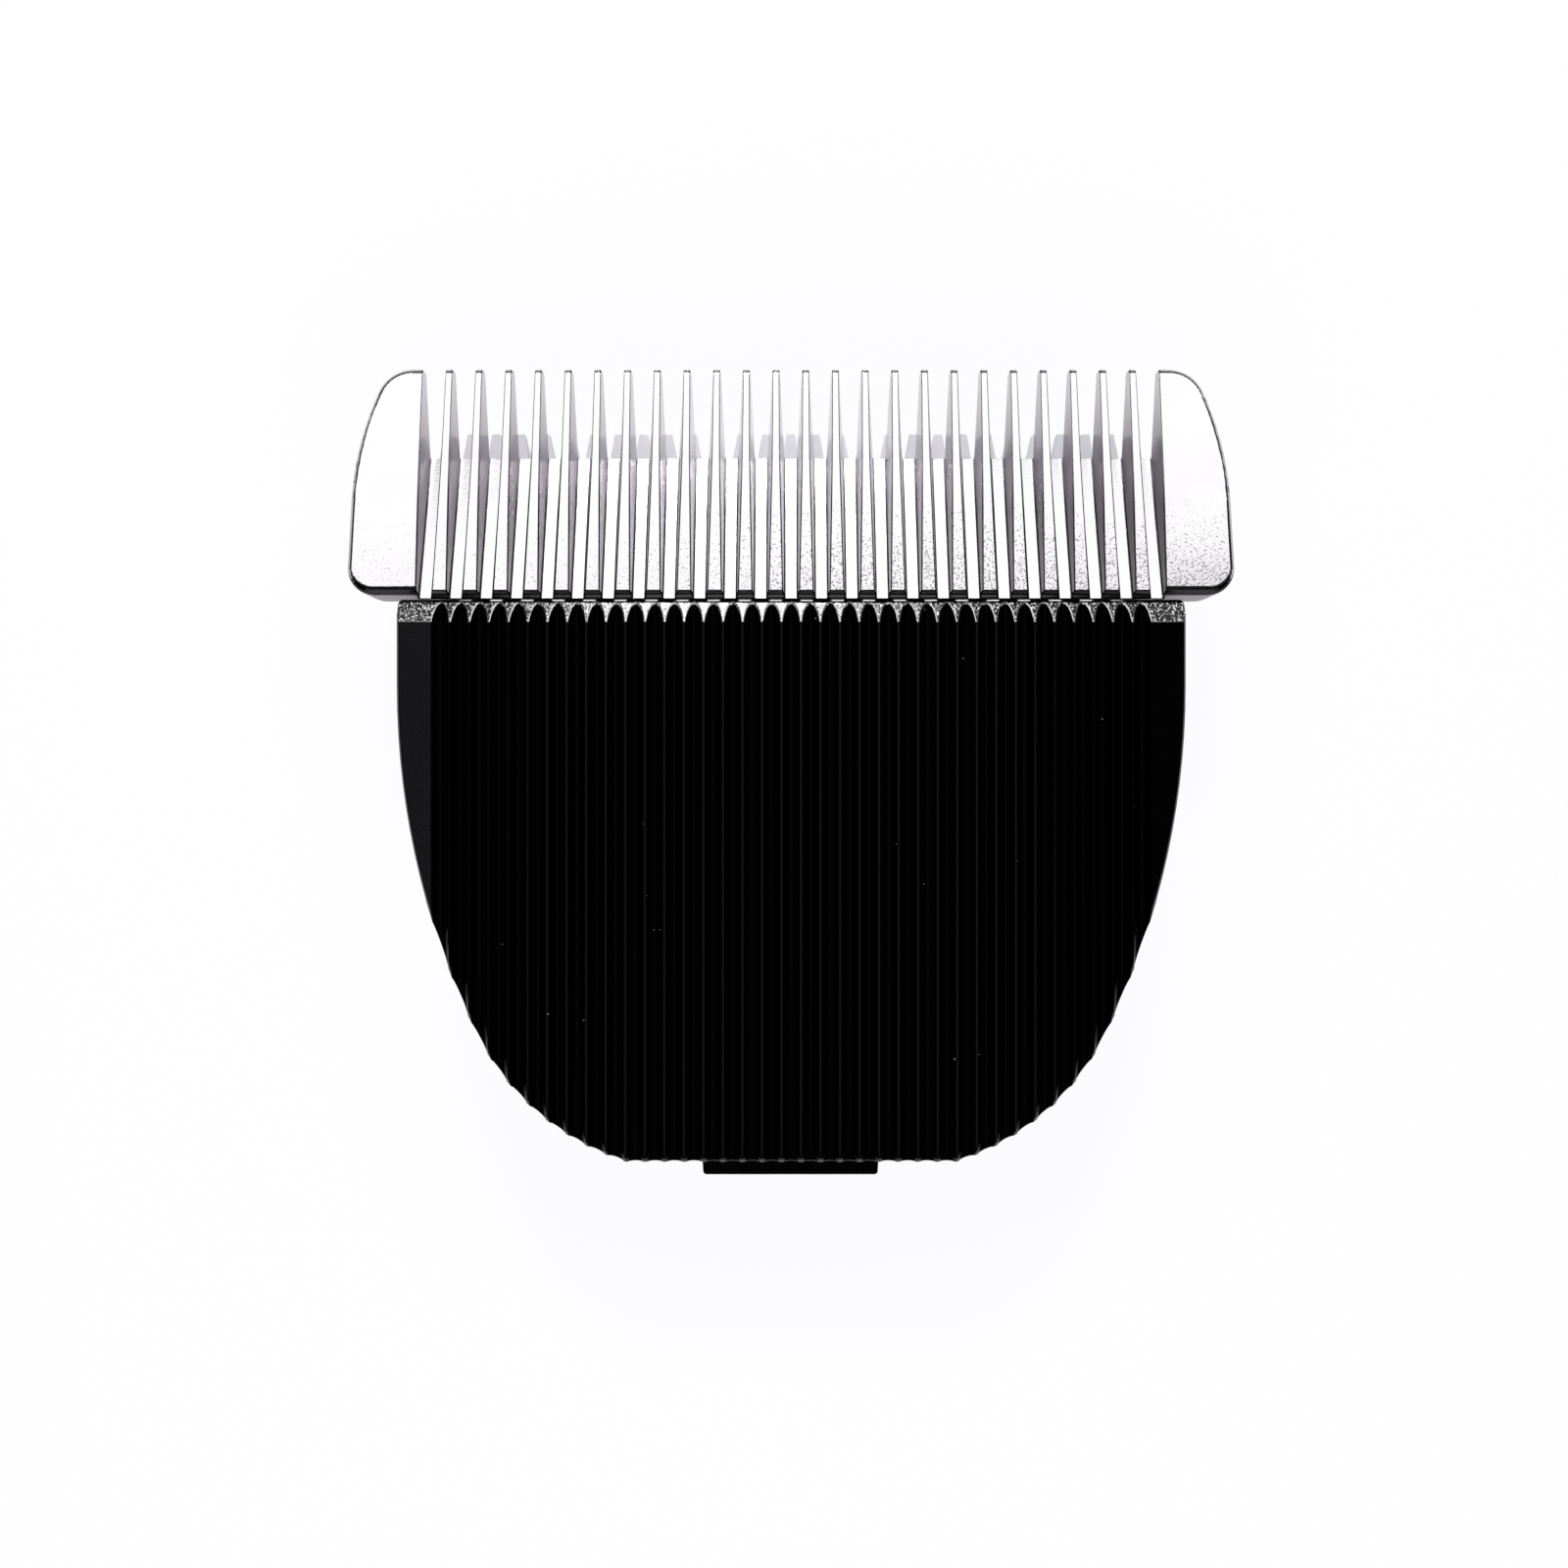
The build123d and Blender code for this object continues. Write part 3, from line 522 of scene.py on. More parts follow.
def comb_finish(settings):
    """Steel: polished tops flecked at the rear, ground walls with lines along the teeth, painted light and
    shade on the walls, and painted shade at the seam, the tip rims and the guards' heels.
    """
    material, tree, surface, place = new_finish("comb_polished_steel")
    finishes, wear = settings.finishes, settings.wear
    seam_y = seam_place(settings)
    spot = axes(tree, place)

    # Faces picked out by the way they lean
    lean = axes(tree, add_node(tree, "ShaderNodeNewGeometry").outputs["True Normal"])
    wall = fade(tree, lean["Z"], 0.45, 0.85)
    rear = fade(tree, lean["Y"], -0.8, -0.4)
    heel = times(tree, fade(tree, lean["Y"], -0.25, -0.10), span(tree, lean["Z"], 0.15, 0.35))
    tip = times(tree, tip_rim(tree, spot, settings), fade(tree, lean["Y"], 0.6, 0.9))
    flat = times(tree, span(tree, lean["Z"], 0.96, 0.98), fade(tree, lean["Y"], 0.05, 0.10))
    top = times(tree, span(tree, lean["Y"], 0.10, 0.13), fade(tree, lean["Y"], 0.19, 0.22))

    # Walls: painted light in the middle of the comb and towards the tips, painted shade to the right; the
    # rear faces of the teeth take the painted light, those of the guards plain ground steel
    beside_line = from_line(tree, spot, wear.light_line)
    middle = fade(tree, beside_line, wear.light_core, wear.light_reach)
    wall_tone = mix(tree, middle, finishes.wall_steel, finishes.painted_light_steel)
    shade = span(tree, spot["X"], wear.shade_left, wear.shade_right, 0.0, 0.33)
    wall_tone = mix(tree, shade, wall_tone, finishes.fleck_and_shade_steel)
    tip_light = span(tree, spot["Y"], comb_high.y - 5.0 * mm, comb_high.y - 0.5 * mm, 0.0, 0.6)
    wall_tone = mix(tree, tip_light, wall_tone, finishes.painted_light_steel)
    on_guard = span(tree, from_line(tree, spot), *guard_start(settings))
    rear_tone = mix(tree, on_guard, finishes.painted_light_steel, finishes.wall_steel)
    tone = mix(tree, wall, finishes.steel, mix(tree, rear, wall_tone, rear_tone))

    # Painted shade on the guards' heels, the tips and the land behind the teeth; flecks on the tops
    painted_dark = calc(tree, "MAXIMUM", times(tree, heel, on_guard), tip)
    tone = mix(tree, painted_dark, tone, finishes.painted_shade)
    worn = fade(tree, spot["Y"], seam_y + wear.fleck_rear, seam_y + wear.fleck_front)
    worn = times(tree, worn, span(tree, spot["X"], wear.fleck_left, wear.fleck_right, 0.15, 1.0), top)
    fleck = calc(tree, "ADD", noise(tree, place, 0.11 * mm, 2.0), times(tree, worn, 0.14))
    flecks = times(tree, span(tree, fleck, 0.66, 0.72), span(tree, worn, 0.0, 0.15), 0.6)
    tone = mix(tree, flecks, tone, finishes.fleck_and_shade_steel)
    land_shade = span(tree, spot["Y"], seam_y + wear.land_shade_rear, seam_y + wear.land_shade_front, 0.95, 0.1)
    tone = mix(tree, times(tree, flat, land_shade), tone, finishes.painted_shade)

    lines = noise(tree, place, 0.035 * mm, 2.0, (1.0, 30.0, 1.0))
    peel = noise(tree, place, 0.17 * mm, 3.0)
    smears = noise(tree, place, 3.0 * mm, 4.0)
    dull = calc(tree, "ADD", spread(tree, smears, 0.10, 0.15), times(tree, lines, 0.05))
    dull = calc(tree, "ADD", dull, times(tree, wall, 0.14))
    set_inputs(tree, surface, {
        "Base Color": tone,
        "Roughness": calc(tree, "ADD", dull, times(tree, rear, 0.40)),
        "Normal": bump(tree, peel, 0.004 * mm, 0.8, bump(tree, lines, 0.0008 * mm, 0.8)),
        "Metallic": span(tree, rear, 0.0, 1.0, 1.0, 0.5),
    })
    return material


def comb_edge_finish(settings):
    """Steel on the comb's rounded edges in painted shade: dark at the teeth's rear, darkest at the tips and
    the seam, with painted light on the edges between, towards the front of the teeth.
    """
    material, tree, surface, place = new_finish("comb_edge_steel")
    finishes = settings.finishes
    seam_y = seam_place(settings)
    spot = axes(tree, place)
    # Painted shade: the edges drawn in dark steel, brighter in random patches
    patches = noise(tree, place, 0.4 * mm, 3.0)
    bright = [2.5 * part for part in finishes.fleck_and_shade_steel]
    tone = mix(tree, span(tree, patches, 0.5, 0.75), finishes.fleck_and_shade_steel, bright)
    # Painted light on the edges towards the front of the teeth, painted shade at the tips and at the seam
    guard_x = guard_start(settings)[1]
    on_teeth = fade(tree, from_line(tree, spot), guard_x + 0.9 * mm, guard_x + 1.2 * mm)
    front = span(tree, spot["Y"], seam_y + 5.0 * mm, seam_y + 8.5 * mm)
    tone = mix(tree, times(tree, front, on_teeth), tone, finishes.painted_light_steel)
    tip = span(tree, spot["Y"], comb_high.y - 0.35 * mm, comb_high.y - 0.2 * mm)
    tone = mix(tree, tip, tone, finishes.painted_shade)
    seam = fade(tree, spot["Y"], seam_y + 0.30 * mm, seam_y + 0.36 * mm)
    set_inputs(tree, surface, {
        "Base Color": mix(tree, seam, tone, finishes.painted_shade),
        "Roughness": spread(tree, patches, 0.16, 0.28),
        "Metallic": 1.0,
    })
    return material


def cutter_finish(settings):
    """Fired ceramic: even white with a faint cloud and a very fine sintered grain."""
    material, tree, surface, place = new_finish("cutter_white_ceramic")
    white = settings.finishes.ceramic
    shaded = [0.93 * part for part in white]
    clouds = noise(tree, place, 3.5 * mm, 3.0)
    grain = noise(tree, place, 0.06 * mm, 2.0)
    set_inputs(tree, surface, {
        "Base Color": mix(tree, span(tree, clouds, 0.35, 0.7), white, shaded),
        "Roughness": spread(tree, grain, 0.28, 0.40),
        "Normal": bump(tree, grain, 0.002 * mm),
    })
    return material


def wire_finish(settings):
    """Drawn wire: bright metal with streaks and a few dark spots."""
    material, tree, surface, place = new_finish("spring_drawn_wire")
    wire = settings.finishes.wire
    dark = [0.45 * part for part in wire]
    streaks = noise(tree, place, 0.06 * mm, 3.0, (6.0, 6.0, 1.0))
    spots = span(tree, noise(tree, place, 0.5 * mm, 3.0), 0.56, 0.68)
    set_inputs(tree, surface, {
        "Base Color": mix(tree, times(tree, spots, 0.5), wire, dark),
        "Roughness": spread(tree, streaks, 0.22, 0.38),
        "Normal": bump(tree, streaks, 0.002 * mm),
        "Metallic": 1.0,
    })
    return material


def screw_finish(settings):
    """Zinc plating: soft sheen that clouds from grey to faintly yellow."""
    material, tree, surface, place = new_finish("screw_zinc_plate")
    zinc = settings.finishes.zinc
    warm = [part * share for part, share in zip(zinc, (1.0, 0.96, 0.82))]
    clouds = noise(tree, place, 1.1 * mm, 4.0)
    grain = noise(tree, place, 0.08 * mm, 2.0)
    set_inputs(tree, surface, {
        "Base Color": mix(tree, span(tree, clouds, 0.4, 0.7), zinc, warm),
        "Roughness": spread(tree, grain, 0.30, 0.44),
        "Normal": bump(tree, grain, 0.003 * mm),
        "Metallic": 1.0,
    })
    return material


def floor_finish(settings):
    """Pale floor that keeps a soft shade of the blade and can be looked through from below."""
    material = bpy.data.materials.new("pale_floor")
    material.use_nodes = True
    tree = material.node_tree
    tree.nodes.clear()
    stage = settings.stage
    pale = (*settings.finishes.floor, 1.0)
    ray = add_node(tree, "ShaderNodeLightPath").outputs
    mirrored = calc(tree, "MAXIMUM", ray["Is Glossy Ray"], ray["Is Transmission Ray"])
    seen = calc(tree, "MAXIMUM", ray["Is Camera Ray"], mirrored)
    share = times(tree, seen, 1.0 - stage.floor_shade)
    matt = result(tree, "ShaderNodeBsdfDiffuse", {"Color": pale})
    white = result(tree, "ShaderNodeEmission", {"Color": pale, "Strength": stage.floor_glow})
    top = result(tree, "ShaderNodeMixShader", {0: share, 1: matt, 2: white})
    under = add_node(tree, "ShaderNodeNewGeometry").outputs["Backfacing"]
    clear = result(tree, "ShaderNodeBsdfTransparent")
    both = result(tree, "ShaderNodeMixShader", {0: under, 1: top, 2: clear})
    add_node(tree, "ShaderNodeOutputMaterial", {"Surface": both})
    return material


# Shapes

socket_kinds = {float: "Float", int: "Int", tuple: "Vector", bpy.types.Material: "Material"}


def linked(name, data):
    """A new object in the scene."""
    thing = bpy.data.objects.new(name, data)
    bpy.context.scene.collection.objects.link(thing)
    return thing


def settled(source, name):
    """The source with its modifiers made into a plain mesh; the source itself goes."""
    graph = bpy.context.evaluated_depsgraph_get()
    mesh = bpy.data.meshes.new_from_object(source.evaluated_get(graph))
    bpy.data.objects.remove(source)
    mesh.name = name
    return linked(name, mesh)


def weigh_edges(work, edges, width, crisp):
    """Marks the edges to round: sharp ones between faces wide enough, unless they are to stay crisp."""
    weights = work.edges.layers.float.new("bevel_weight_edge")
    for edge in work.edges:
        if edge.calc_face_angle(0.0) < edges.sharp_angle or crisp(edge):
            continue
        reach = min(face.calc_area() for face in edge.link_faces) / edge.calc_length()
        edge[weights] = 1.0 if reach > edges.room * width else 0.0


def softened_copy(node, name, edges, width, finishes, crisp=lambda edge: False):
    """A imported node's shape with clean flat faces and rounded edges; the rounding takes the last finish."""
    work = bmesh.new()
    work.from_mesh(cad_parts[node].data)
    bmesh.ops.remove_doubles(work, verts=work.verts, dist=edges.weld)
    bmesh.ops.dissolve_limit(work, angle_limit=edges.flat_angle, verts=work.verts, edges=work.edges)
    weigh_edges(work, edges, width, crisp)
    mesh = bpy.data.meshes.new(name)
    work.to_mesh(mesh)
    work.free()
    mesh.polygons.foreach_set("use_smooth", [True] * len(mesh.polygons))
    mesh.set_sharp_from_angle(angle=edges.sharp_angle)
    mesh.materials.clear()
    for finish in finishes:
        mesh.materials.append(finish)

    # The modifiers work in millimetres, because they take very small faces for empty ones
    mesh.transform(Matrix.Scale(1.0 / mm, 4))
    source = linked(name + "_source", mesh)
    rounding = source.modifiers.new("Edge rounding", "BEVEL")
    rounding.width = width / mm
    rounding.material = len(finishes) - 1
    rounding.segments = edges.segments
    rounding.limit_method = "WEIGHT"
    rounding.use_clamp_overlap = False
    rounding.miter_outer = "MITER_ARC"
    flat = source.modifiers.new("Flat faces", "WEIGHTED_NORMAL")
    flat.keep_sharp = True
    piece = settled(source, name)
    piece.data.transform(Matrix.Scale(mm, 4))
    return piece


def carried(piece, body, slot, *nodes):
    """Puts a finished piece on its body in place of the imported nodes."""
    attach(piece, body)
    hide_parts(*nodes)


def new_tree(name, values):
    """A geometry node tree with an input for each named value, and the outputs of its input node."""
    tree = bpy.data.node_groups.new(name, "GeometryNodeTree")
    tree.interface.new_socket("Geometry", in_out="INPUT", socket_type="NodeSocketGeometry")
    for label, value in values.items():
        kind = "NodeSocket" + socket_kinds[type(value)]
        tree.interface.new_socket(label, in_out="INPUT", socket_type=kind)
    tree.interface.new_socket("Geometry", in_out="OUTPUT", socket_type="NodeSocketGeometry")
    return tree, tree.nodes.new("NodeGroupInput").outputs


def close_tree(tree, geometry, material, sharp_angle):
    """Ends a tree: smooth faces with sharp edges kept, real geometry, one finish."""
    smooth = result(tree, "GeometryNodeSetShadeSmooth", {"Geometry": geometry, "Shade Smooth": True})
    turn = add_node(tree, "GeometryNodeInputMeshEdgeAngle").outputs["Unsigned Angle"]
    sharp = result(tree, "FunctionNodeCompare", {0: turn, 1: sharp_angle}, operation="GREATER_THAN")
    sharpening = {"Geometry": smooth, "Selection": sharp, "Shade Smooth": False}
    edged = result(tree, "GeometryNodeSetShadeSmooth", sharpening, domain="EDGE")
    real = result(tree, "GeometryNodeRealizeInstances", {"Geometry": edged})
    finished = result(tree, "GeometryNodeSetMaterial", {"Geometry": real, "Material": material})
    add_node(tree, "NodeGroupOutput", {0: finished})


def grow(source, tree, values):
    """Puts a tree on an object and sets its inputs by name."""
    modifier = source.modifiers.new(tree.name, "NODES")
    modifier.node_group = tree
    for item in tree.interface.items_tree:
        if item.in_out == "INPUT" and item.name in values:
            modifier[item.identifier] = values[item.name]


def poly_curve(name, points):
    """An open curve through the points."""
    curve = bpy.data.curves.new(name, "CURVE")
    curve.dimensions = "3D"
    spline = curve.splines.new("POLY")
    spline.points.add(len(points) - 1)
    for point, place in zip(spline.points, points):
        point.co = (*place, 1.0)
    return linked(name, curve)


def spring_path(sizes):
    """Middle line of the right half of the spring, from the middle of its bridge to the toe."""
    wire = sizes.wire_radius
    bight_y = spring_low.y + wire
    bight_z = spring_high.z - wire
    spindle_y = bight_y + sizes.bight_setback
    arm_z = spring_low.z + wire
    spindle_z = arm_z + sizes.coil_radius
    toe_y = spring_high.y - wire
    toe_z = cutter_low.z - sizes.toe_drop
    points = [(0.0, bight_y, bight_z), (sizes.coil_inner / 2, bight_y, bight_z)]
    points.append((sizes.coil_inner - 4 * wire, bight_y, bight_z))
    points.append((sizes.coil_inner - wire, bight_y + wire / 2, bight_z - wire / 4))

    # From where the wire from the bridge meets the coil, round to the bottom of the last turn
    rise = bight_z - spindle_z
    away = math.hypot(sizes.bight_setback, rise)
    start = math.atan2(rise, -sizes.bight_setback) + math.acos(sizes.coil_radius / away)
    end = math.radians(270 + 360 * sizes.coil_turns)
    steps = sizes.turn_steps * sizes.coil_turns + sizes.turn_steps // 4
    for step in range(steps + 1):
        bearing = start + (end - start) * step / steps
        x = sizes.coil_inner + sizes.coil_pitch * (bearing - start) / math.tau
        y = spindle_y + sizes.coil_radius * math.cos(bearing)
        points.append((x, y, spindle_z + sizes.coil_radius * math.sin(bearing)))

    # Straight arm forward, with its toe turned out under the wing of the carrier
    arm_x = points[-1][0]
    bend = sizes.toe_bend
    for share in (0.2, 0.5, 0.8, 1.0):
        y = spindle_y + share * (toe_y - bend - spindle_y)
        points.append((arm_x, y, arm_z + share * (toe_z - arm_z)))
    points.append((arm_x + 0.3 * bend, toe_y - 0.3 * bend, toe_z))
    points.append((arm_x + bend, toe_y, toe_z))
    points.append((arm_x + sizes.toe_length, toe_y, toe_z))
    return points


def wire_tree(values):
    """Nodes that carry a round wire along a smooth path."""
    tree, given = new_tree("wire_along_path", values)
    path = {"Curve": given["Geometry"]}
    bent = result(tree, "GeometryNodeCurveSplineType", path, spline_type="CATMULL_ROM")
    steps = {"Geometry": bent, "Resolution": given["Smoothness"]}
    fine = result(tree, "GeometryNodeSetSplineResolution", steps)
    circle = {"Resolution": given["Sides"], "Radius": given["Wire Radius"]}
    ring = result(tree, "GeometryNodeCurvePrimitiveCircle", circle)
    sweep = {"Curve": fine, "Profile Curve": ring, "Fill Caps": True}
    wire = result(tree, "GeometryNodeCurveToMesh", sweep)
    close_tree(tree, wire, given["Finish"], given["Sharp Angle"])
    return tree


def arc_points(start, end, radius, steps):
    """Points on an arc that bulges to the right of its run from start to end."""
    start, end = Vector(start), Vector(end)
    chord = end - start
    outward = Vector((chord.y, -chord.x)).normalized()
    centre = (start + end) / 2 - outward * math.sqrt(radius**2 - (chord.length / 2) ** 2)
    first, last = start - centre, end - centre
    turn = first.angle_signed(last)
    points = []
    for step in range(1, steps):
        bearing = math.atan2(first.y, first.x) - turn * step / steps
        points.append((centre.x + radius * math.cos(bearing), centre.y + radius * math.sin(bearing)))
    return points


def screw_outline(sizes):
    """Half outline of a screw as radius and height, from the middle of its head to the end of its shank."""
    head_z = screw_low.z
    end_z = screw_high.z
    head_radius = (screw_high.x - screw_low.x) / 2
    shoulder = (head_radius, head_z + sizes.head_dome)
    crown = (head_radius / 2, head_z)
    outline = [(0.0, head_z), crown]
    outline += arc_points(crown, shoulder, sizes.dome_radius, sizes.dome_steps)
    outline += [
        shoulder,
        (head_radius, head_z + sizes.head_height),
        (sizes.root_radius, head_z + sizes.head_height),
        (sizes.root_radius, end_z - sizes.tip_chamfer),
        (sizes.root_radius - sizes.tip_chamfer, end_z),
        (0.0, end_z),
    ]
    return outline


def screw_body(tree, given):
    """Nodes that turn the outline into a head and a shank and cut the cross recess."""
    circle = {"Resolution": given["Sides"], "Radius": given["Root Radius"]}
    ring = result(tree, "GeometryNodeCurvePrimitiveCircle", circle)
    sweep = {"Curve": ring, "Profile Curve": given["Geometry"]}
    turned = result(tree, "GeometryNodeCurveToMesh", sweep)
    outward = result(tree, "GeometryNodeFlipFaces", {"Mesh": turned})
    welded = {"Geometry": outward, "Distance": given["Weld"]}
    body = result(tree, "GeometryNodeMergeByDistance", welded)
    arm = result(tree, "GeometryNodeMeshCube", {"Size": given["Cross Arm"]})
    arms = []
    for degrees in (0, 90):
        turn = (0.0, 0.0, math.radians(degrees))
        stand = {"Geometry": arm, "Translation": given["Cross Place"], "Rotation": turn}
        arms.append(result(tree, "GeometryNodeTransform", stand))
    cut = {"Mesh 1": body, "Mesh 2": arms}
    return result(tree, "GeometryNodeMeshBoolean", cut, operation="DIFFERENCE", solver="MANIFOLD")


def screw_thread(tree, given):
    """Nodes that wind a three-cornered ridge round the shank."""
    spiral = {
        "Resolution": given["Thread Steps"],
        "Rotations": given["Thread Turns"],
        "Start Radius": given["Root Radius"],
        "End Radius": given["Root Radius"],
        "Height": given["Thread Length"],
    }
    winding = result(tree, "GeometryNodeCurveSpiral", spiral)
    depth = calc(tree, "SUBTRACT", given["Crest Radius"], given["Root Radius"])
    ridge = result(tree, "GeometryNodeCurvePrimitiveCircle", {"Resolution": 3, "Radius": depth})
    sweep = {"Curve": winding, "Profile Curve": ridge, "Fill Caps": True}
    thread = result(tree, "GeometryNodeCurveToMesh", sweep)
    tip_light = result(tree, "ShaderNodeCombineXYZ", {"Z": given["Thread Start"]})
    return result(tree, "GeometryNodeTransform", {"Geometry": thread, "Translation": tip_light})


def screw_tree(values):
    """Nodes that make a threaded screw from its outline and set the screws in a row."""
    tree, given = new_tree("screw_row", values)
    parts = [screw_body(tree, given), screw_thread(tree, given)]
    screw = result(tree, "GeometryNodeJoinGeometry", {"Geometry": parts})
    line = {"Count": given["Count"], "Start Location": given["First Place"], "Offset": given["Spacing"]}
    row = result(tree, "GeometryNodeMeshLine", line)

    # Each screw stands turned by chance: the node has its limits at inputs 2 and 3, and its pick at output 1
    limits = {"Seed": given["Seed"], 2: 0.0, 3: given["Turn"]}
    chance = add_node(tree, "FunctionNodeRandomValue", limits, data_type="FLOAT").outputs[1]
    stand = result(tree, "ShaderNodeCombineXYZ", {"Z": chance})
    placed = {"Points": row, "Instance": screw, "Rotation": stand}
    screws = result(tree, "GeometryNodeInstanceOnPoints", placed)
    close_tree(tree, screws, given["Finish"], given["Sharp Angle"])
    return tree


# Stage


def add_floor(settings):
    """Lays the floor just under the rim of the base."""
    half = settings.stage.floor_size / 2
    mesh = bpy.data.meshes.new("floor")
    corners = [(-half, -half, 0.0), (half, -half, 0.0), (half, half, 0.0), (-half, half, 0.0)]
    mesh.from_pydata(corners, [], [(0, 1, 2, 3)])
    mesh.materials.append(floor_finish(settings))
    floor = linked("floor", mesh)
    floor.location.z = -settings.stage.floor_drop


def soft_lamp(name, settings, lean, side, width, depth, brightness):
    """A soft lamp over the blade, leaning to the teeth and to the right by angles in degrees."""
    lamp = bpy.data.lights.new(name, "AREA")
    lamp.shape = "RECTANGLE"
    lamp.size, lamp.size_y = width, depth
    lamp.energy = brightness * math.pi * width * depth
    towards = Vector((math.tan(math.radians(side)), math.tan(math.radians(lean)), 1.0)).normalized()
    holder = linked(name, lamp)
    holder.location = towards * settings.stage.lamp_distance
    holder.rotation_euler = towards.to_track_quat("Z", "Y").to_euler()
    holder.visible_camera = False


def studio_world(sizes):
    """White to the camera; a dim room, darkest overhead, to the blade."""
    world = bpy.data.worlds.new("studio")
    world.use_nodes = True
    tree = world.node_tree
    way = axes(tree, add_node(tree, "ShaderNodeTexCoord").outputs["Generated"])
    room = span(tree, way["Z"], 0.0, sizes.ceiling_start, sizes.room_light, sizes.ceiling_light)
    seen = add_node(tree, "ShaderNodeLightPath").outputs["Is Camera Ray"]
    set_inputs(tree, tree.nodes["Background"], {
        "Color": (1.0, 1.0, 1.0, 1.0),
        "Strength": calc(tree, "MAXIMUM", seen, room),
    })
    return world


def add_camera(sizes):
    """A camera that looks straight down on the blade."""
    camera = bpy.data.cameras.new("camera")
    camera.lens = sizes.lens
    camera.sensor_width = sizes.sensor
    camera.clip_start = sizes.camera_near
    holder = linked("camera", camera)
    holder.location = (sizes.camera_shift, 0.0, sizes.camera_height)
    return holder


# Operators


class CLIPPER_OT_base(Operator):
    """Make the moulded base"""

    bl_idname = "clipper_blade.base"
    bl_label = "Moulded Base"
    bl_options = {"REGISTER", "UNDO"}

    def execute(self, context):
        settings = context.scene.clipper_blade
        edges = settings.edges
        seam_y = seam_place(settings)

        def at_seam(edge):
            return all(abs(corner.co.y - seam_y) < edges.fluted for corner in edge.verts)

        finishes = [base_finish(settings), base_edge_finish(settings)]
        piece = softened_copy("blade_base", "moulded_base", edges, edges.fluted, finishes, at_seam)
        carried(piece, "base", "base_plastic", "blade_base")
        return {"FINISHED"}


class CLIPPER_OT_comb(Operator):
    """Make the steel comb"""

    bl_idname = "clipper_blade.comb"
    bl_label = "Steel Comb"
    bl_options = {"REGISTER", "UNDO"}

    def execute(self, context):
        settings = context.scene.clipper_blade
        edges = settings.edges
        finishes = [comb_finish(settings), comb_edge_finish(settings)]
        piece = softened_copy("fixed_blade", "steel_comb", edges, edges.ground, finishes)
        carried(piece, "base", "comb_steel", "fixed_blade")
        return {"FINISHED"}


class CLIPPER_OT_cutter(Operator):
    """Make the ceramic cutter"""

    bl_idname = "clipper_blade.cutter"
    bl_label = "Ceramic Cutter"
    bl_options = {"REGISTER", "UNDO"}

    def execute(self, context):
        settings = context.scene.clipper_blade
        edges = settings.edges
        finishes = [cutter_finish(settings)]
        piece = softened_copy("moving_blade", "ceramic_cutter", edges, edges.fired, finishes)
        carried(piece, "cutter", "cutter_ceramic", "moving_blade")
        return {"FINISHED"}


class CLIPPER_OT_mouldings(Operator):
    """Make the carrier under the cutter and the slide that sets its depth"""

    bl_idname = "clipper_blade.mouldings"
    bl_label = "Carrier and Slide"
    bl_options = {"REGISTER", "UNDO"}

    def execute(self, context):
        settings = context.scene.clipper_blade
        edges = settings.edges
        tone = settings.finishes.inner_black
        carrier_black = inner_finish("carrier_satin_black", tone, dullness=0.34)
        carrier = softened_copy("cutter_carrier", "drive_carrier", edges, edges.moulded, [carrier_black])
        carried(carrier, "cutter", "carrier_plastic", "cutter_carrier")
        slide_black = inner_finish("slide_satin_black", tone, dullness=0.42)
        slide = softened_copy("depth_slide", "setting_slide", edges, edges.moulded, [slide_black])
        carried(slide, "slide", "slide_plastic", "depth_slide")
        return {"FINISHED"}


class CLIPPER_OT_spring(Operator):
    """Wind the pressure spring"""

    bl_idname = "clipper_blade.spring"
    bl_label = "Pressure Spring"
    bl_options = {"REGISTER", "UNDO"}

    def execute(self, context):
        settings = context.scene.clipper_blade
        sizes = settings.spring
        right = spring_path(sizes)
        left = [(-x, y, z) for x, y, z in reversed(right[1:])]
        path = poly_curve("spring_path", left + right)
        values = {
            "Wire Radius": sizes.wire_radius,
            "Sides": sizes.wire_sides,
            "Smoothness": sizes.smoothness,
            "Sharp Angle": settings.edges.turned_angle,
            "Finish": wire_finish(settings),
        }
        grow(path, wire_tree(values), values)
        spring = settled(path, "spring_wire")
        carried(spring, "slide", "spring_steel", "pressure_spring")
        return {"FINISHED"}


class CLIPPER_OT_screws(Operator):
    """Turn the screws of the comb"""

    bl_idname = "clipper_blade.screws"
    bl_label = "Comb Screws"
    bl_options = {"REGISTER", "UNDO"}

    def execute(self, context):
        settings = context.scene.clipper_blade
        sizes = settings.screws

        # The nodes carry the outline round a ring of the root radius, upside down
        outline = [(radius - sizes.root_radius, -height, 0.0) for radius, height in screw_outline(sizes)]
        profile = poly_curve("screw_outline", outline)
        middle = (screw_low + screw_high) / 2
        seat_z = screw_low.z + sizes.head_height
        ridge = sizes.crest_radius - sizes.root_radius
        thread = screw_high.z - seat_z - sizes.tip_chamfer - 2 * ridge
        values = {
            "Count": sizes.count,
            "Sides": sizes.sides,
            "Weld": sizes.weld,
            "First Place": (-middle.x, middle.y, 0.0),
            "Spacing": (2 * middle.x, 0.0, 0.0),
            "Crest Radius": sizes.crest_radius,
            "Root Radius": sizes.root_radius,
            "Thread Start": seat_z + ridge,
            "Thread Length": thread,
            "Thread Turns": thread / sizes.pitch,
            "Thread Steps": sizes.thread_steps,
            "Cross Arm": (sizes.cross_length, sizes.cross_width, 2 * sizes.cross_depth),
            "Cross Place": (0.0, 0.0, screw_low.z),
            "Turn": sizes.turn,
            "Seed": sizes.seed,
            "Sharp Angle": settings.edges.turned_angle,
            "Finish": screw_finish(settings),
        }
        grow(profile, screw_tree(values), values)
        screws = settled(profile, "comb_screws")
        carried(screws, "base", "screw_steel", "blade_screw_left", "blade_screw_right")
        return {"FINISHED"}


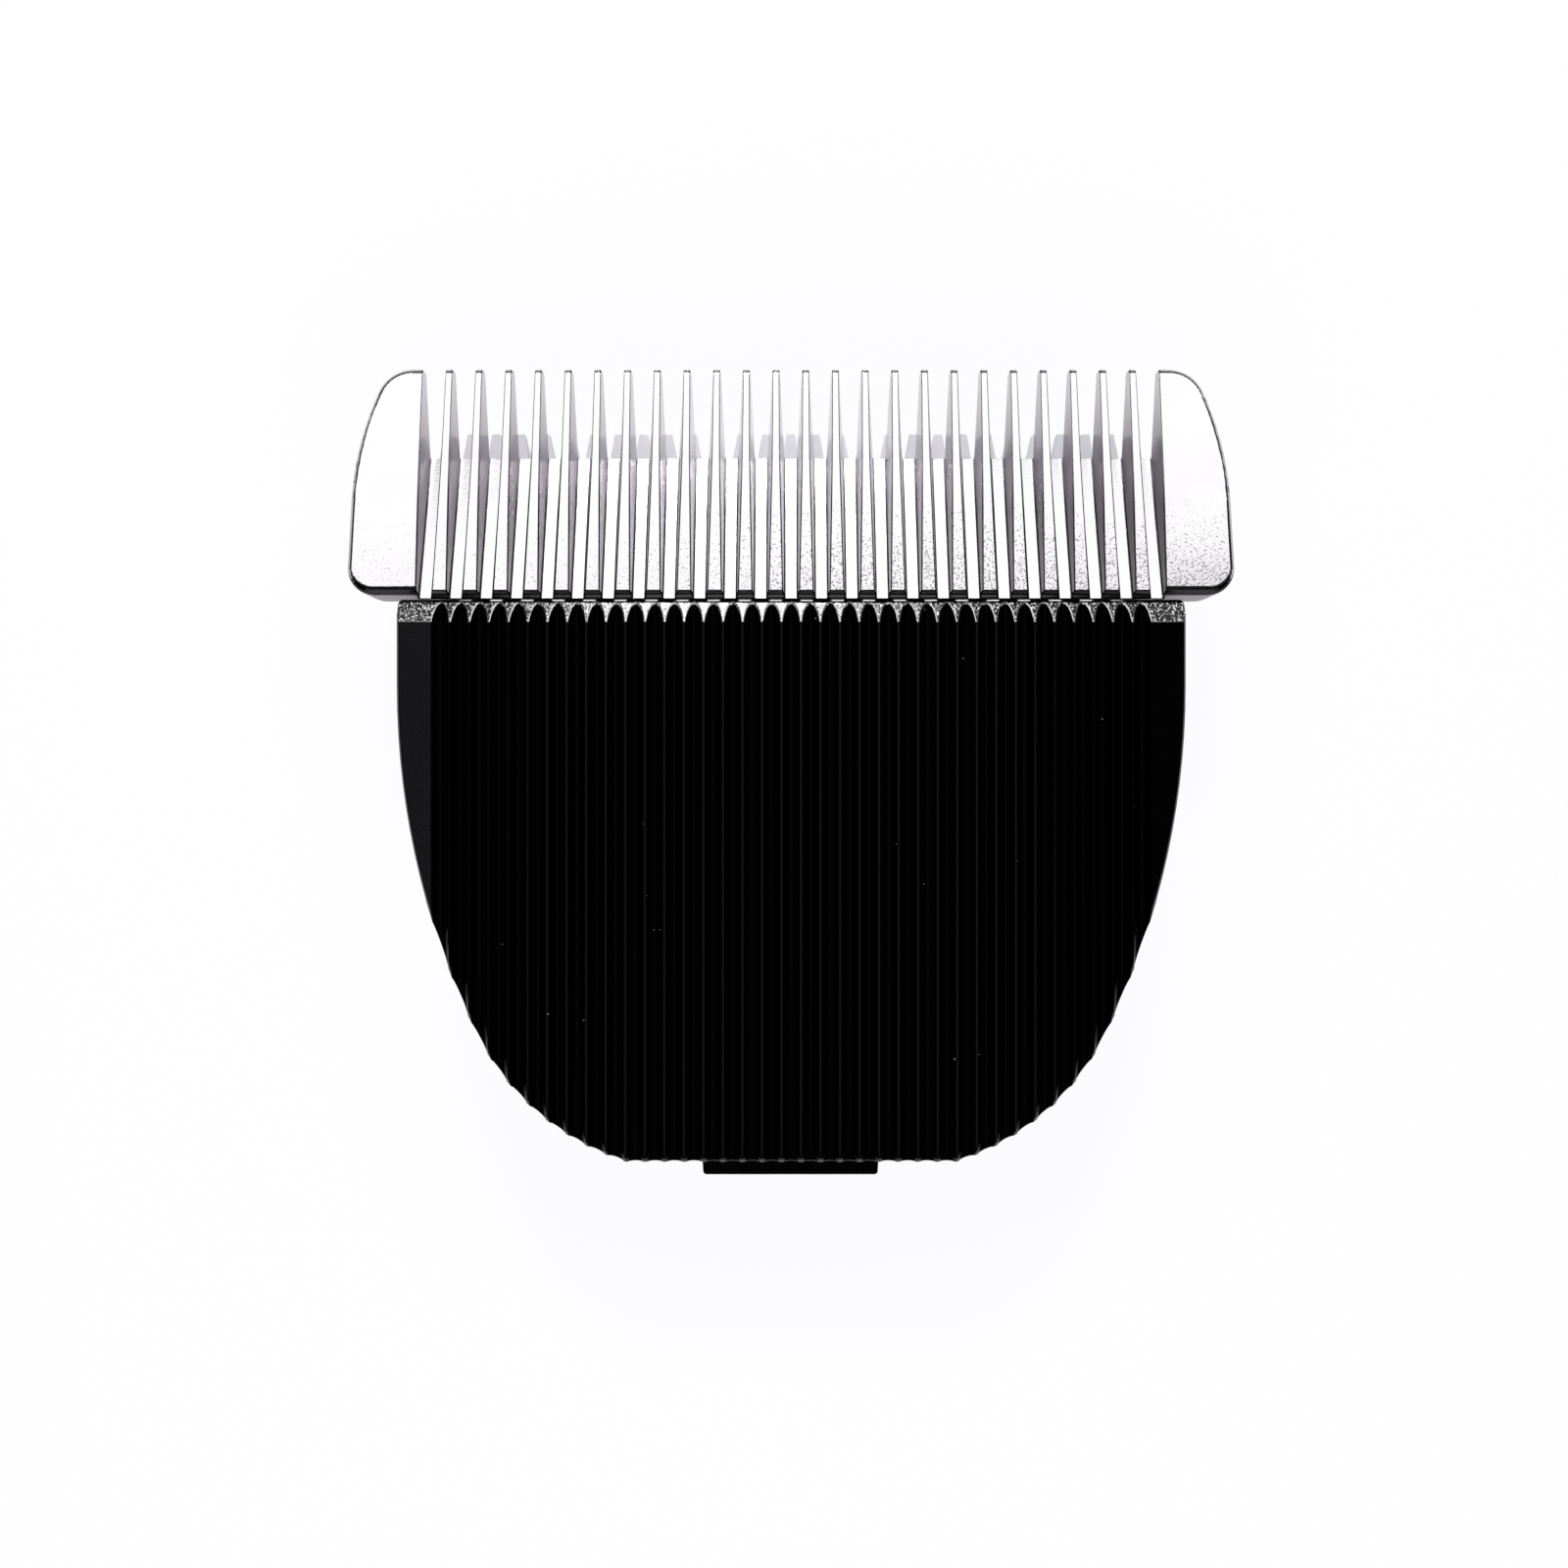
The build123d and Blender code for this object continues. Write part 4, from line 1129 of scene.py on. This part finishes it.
class CLIPPER_OT_stage(Operator):
    """Set up the floor, the lamps and the camera"""

    bl_idname = "clipper_blade.stage"
    bl_label = "Stage"
    bl_options = {"REGISTER", "UNDO"}

    def execute(self, context):
        scene = context.scene
        settings = scene.clipper_blade
        scene.view_settings.view_transform = "Standard"
        add_floor(settings)
        soft_lamp("front_softbox", settings, lean=36, side=-3, width=0.59, depth=0.15, brightness=1.7)
        soft_lamp("front_strip", settings, lean=51, side=-4.5, width=0.075, depth=0.04, brightness=50)
        soft_lamp("overhead_panel", settings, lean=-4, side=0, width=0.175, depth=0.2, brightness=0.15)
        soft_lamp("back_softbox", settings, lean=-55, side=0, width=0.6, depth=0.36, brightness=1.9)
        scene.world = studio_world(settings.stage)
        scene.camera = add_camera(settings.stage)
        return {"FINISHED"}


# Panel and registration


class CLIPPER_PT_panel(Panel):
    """Lists the pieces of the blade"""

    bl_idname = "CLIPPER_PT_panel"
    bl_label = "Clipper Blade"
    bl_space_type = "VIEW_3D"
    bl_region_type = "UI"
    bl_category = "Clipper Blade"

    def draw(self, context):
        for maker in makers:
            self.layout.operator(maker.bl_idname)


makers = (
    CLIPPER_OT_base,
    CLIPPER_OT_comb,
    CLIPPER_OT_cutter,
    CLIPPER_OT_mouldings,
    CLIPPER_OT_spring,
    CLIPPER_OT_screws,
    CLIPPER_OT_stage,
)
groups = (
    EdgeSizes, NoseSizes, CombSizes, SpringSizes, ScrewSizes, Finishes, WearSizes, StageSizes, BladeSettings
)


def register():
    for kind in (*groups, *makers, CLIPPER_PT_panel):
        bpy.utils.register_class(kind)
    bpy.types.Scene.clipper_blade = PointerProperty(type=BladeSettings)


def unregister():
    del bpy.types.Scene.clipper_blade
    for kind in reversed((*groups, *makers, CLIPPER_PT_panel)):
        bpy.utils.unregister_class(kind)


def main():
    register()
    bpy.ops.clipper_blade.base()
    bpy.ops.clipper_blade.comb()
    bpy.ops.clipper_blade.cutter()
    bpy.ops.clipper_blade.mouldings()
    bpy.ops.clipper_blade.spring()
    bpy.ops.clipper_blade.screws()
    bpy.ops.clipper_blade.stage()


if __name__ == "__main__":
    main()
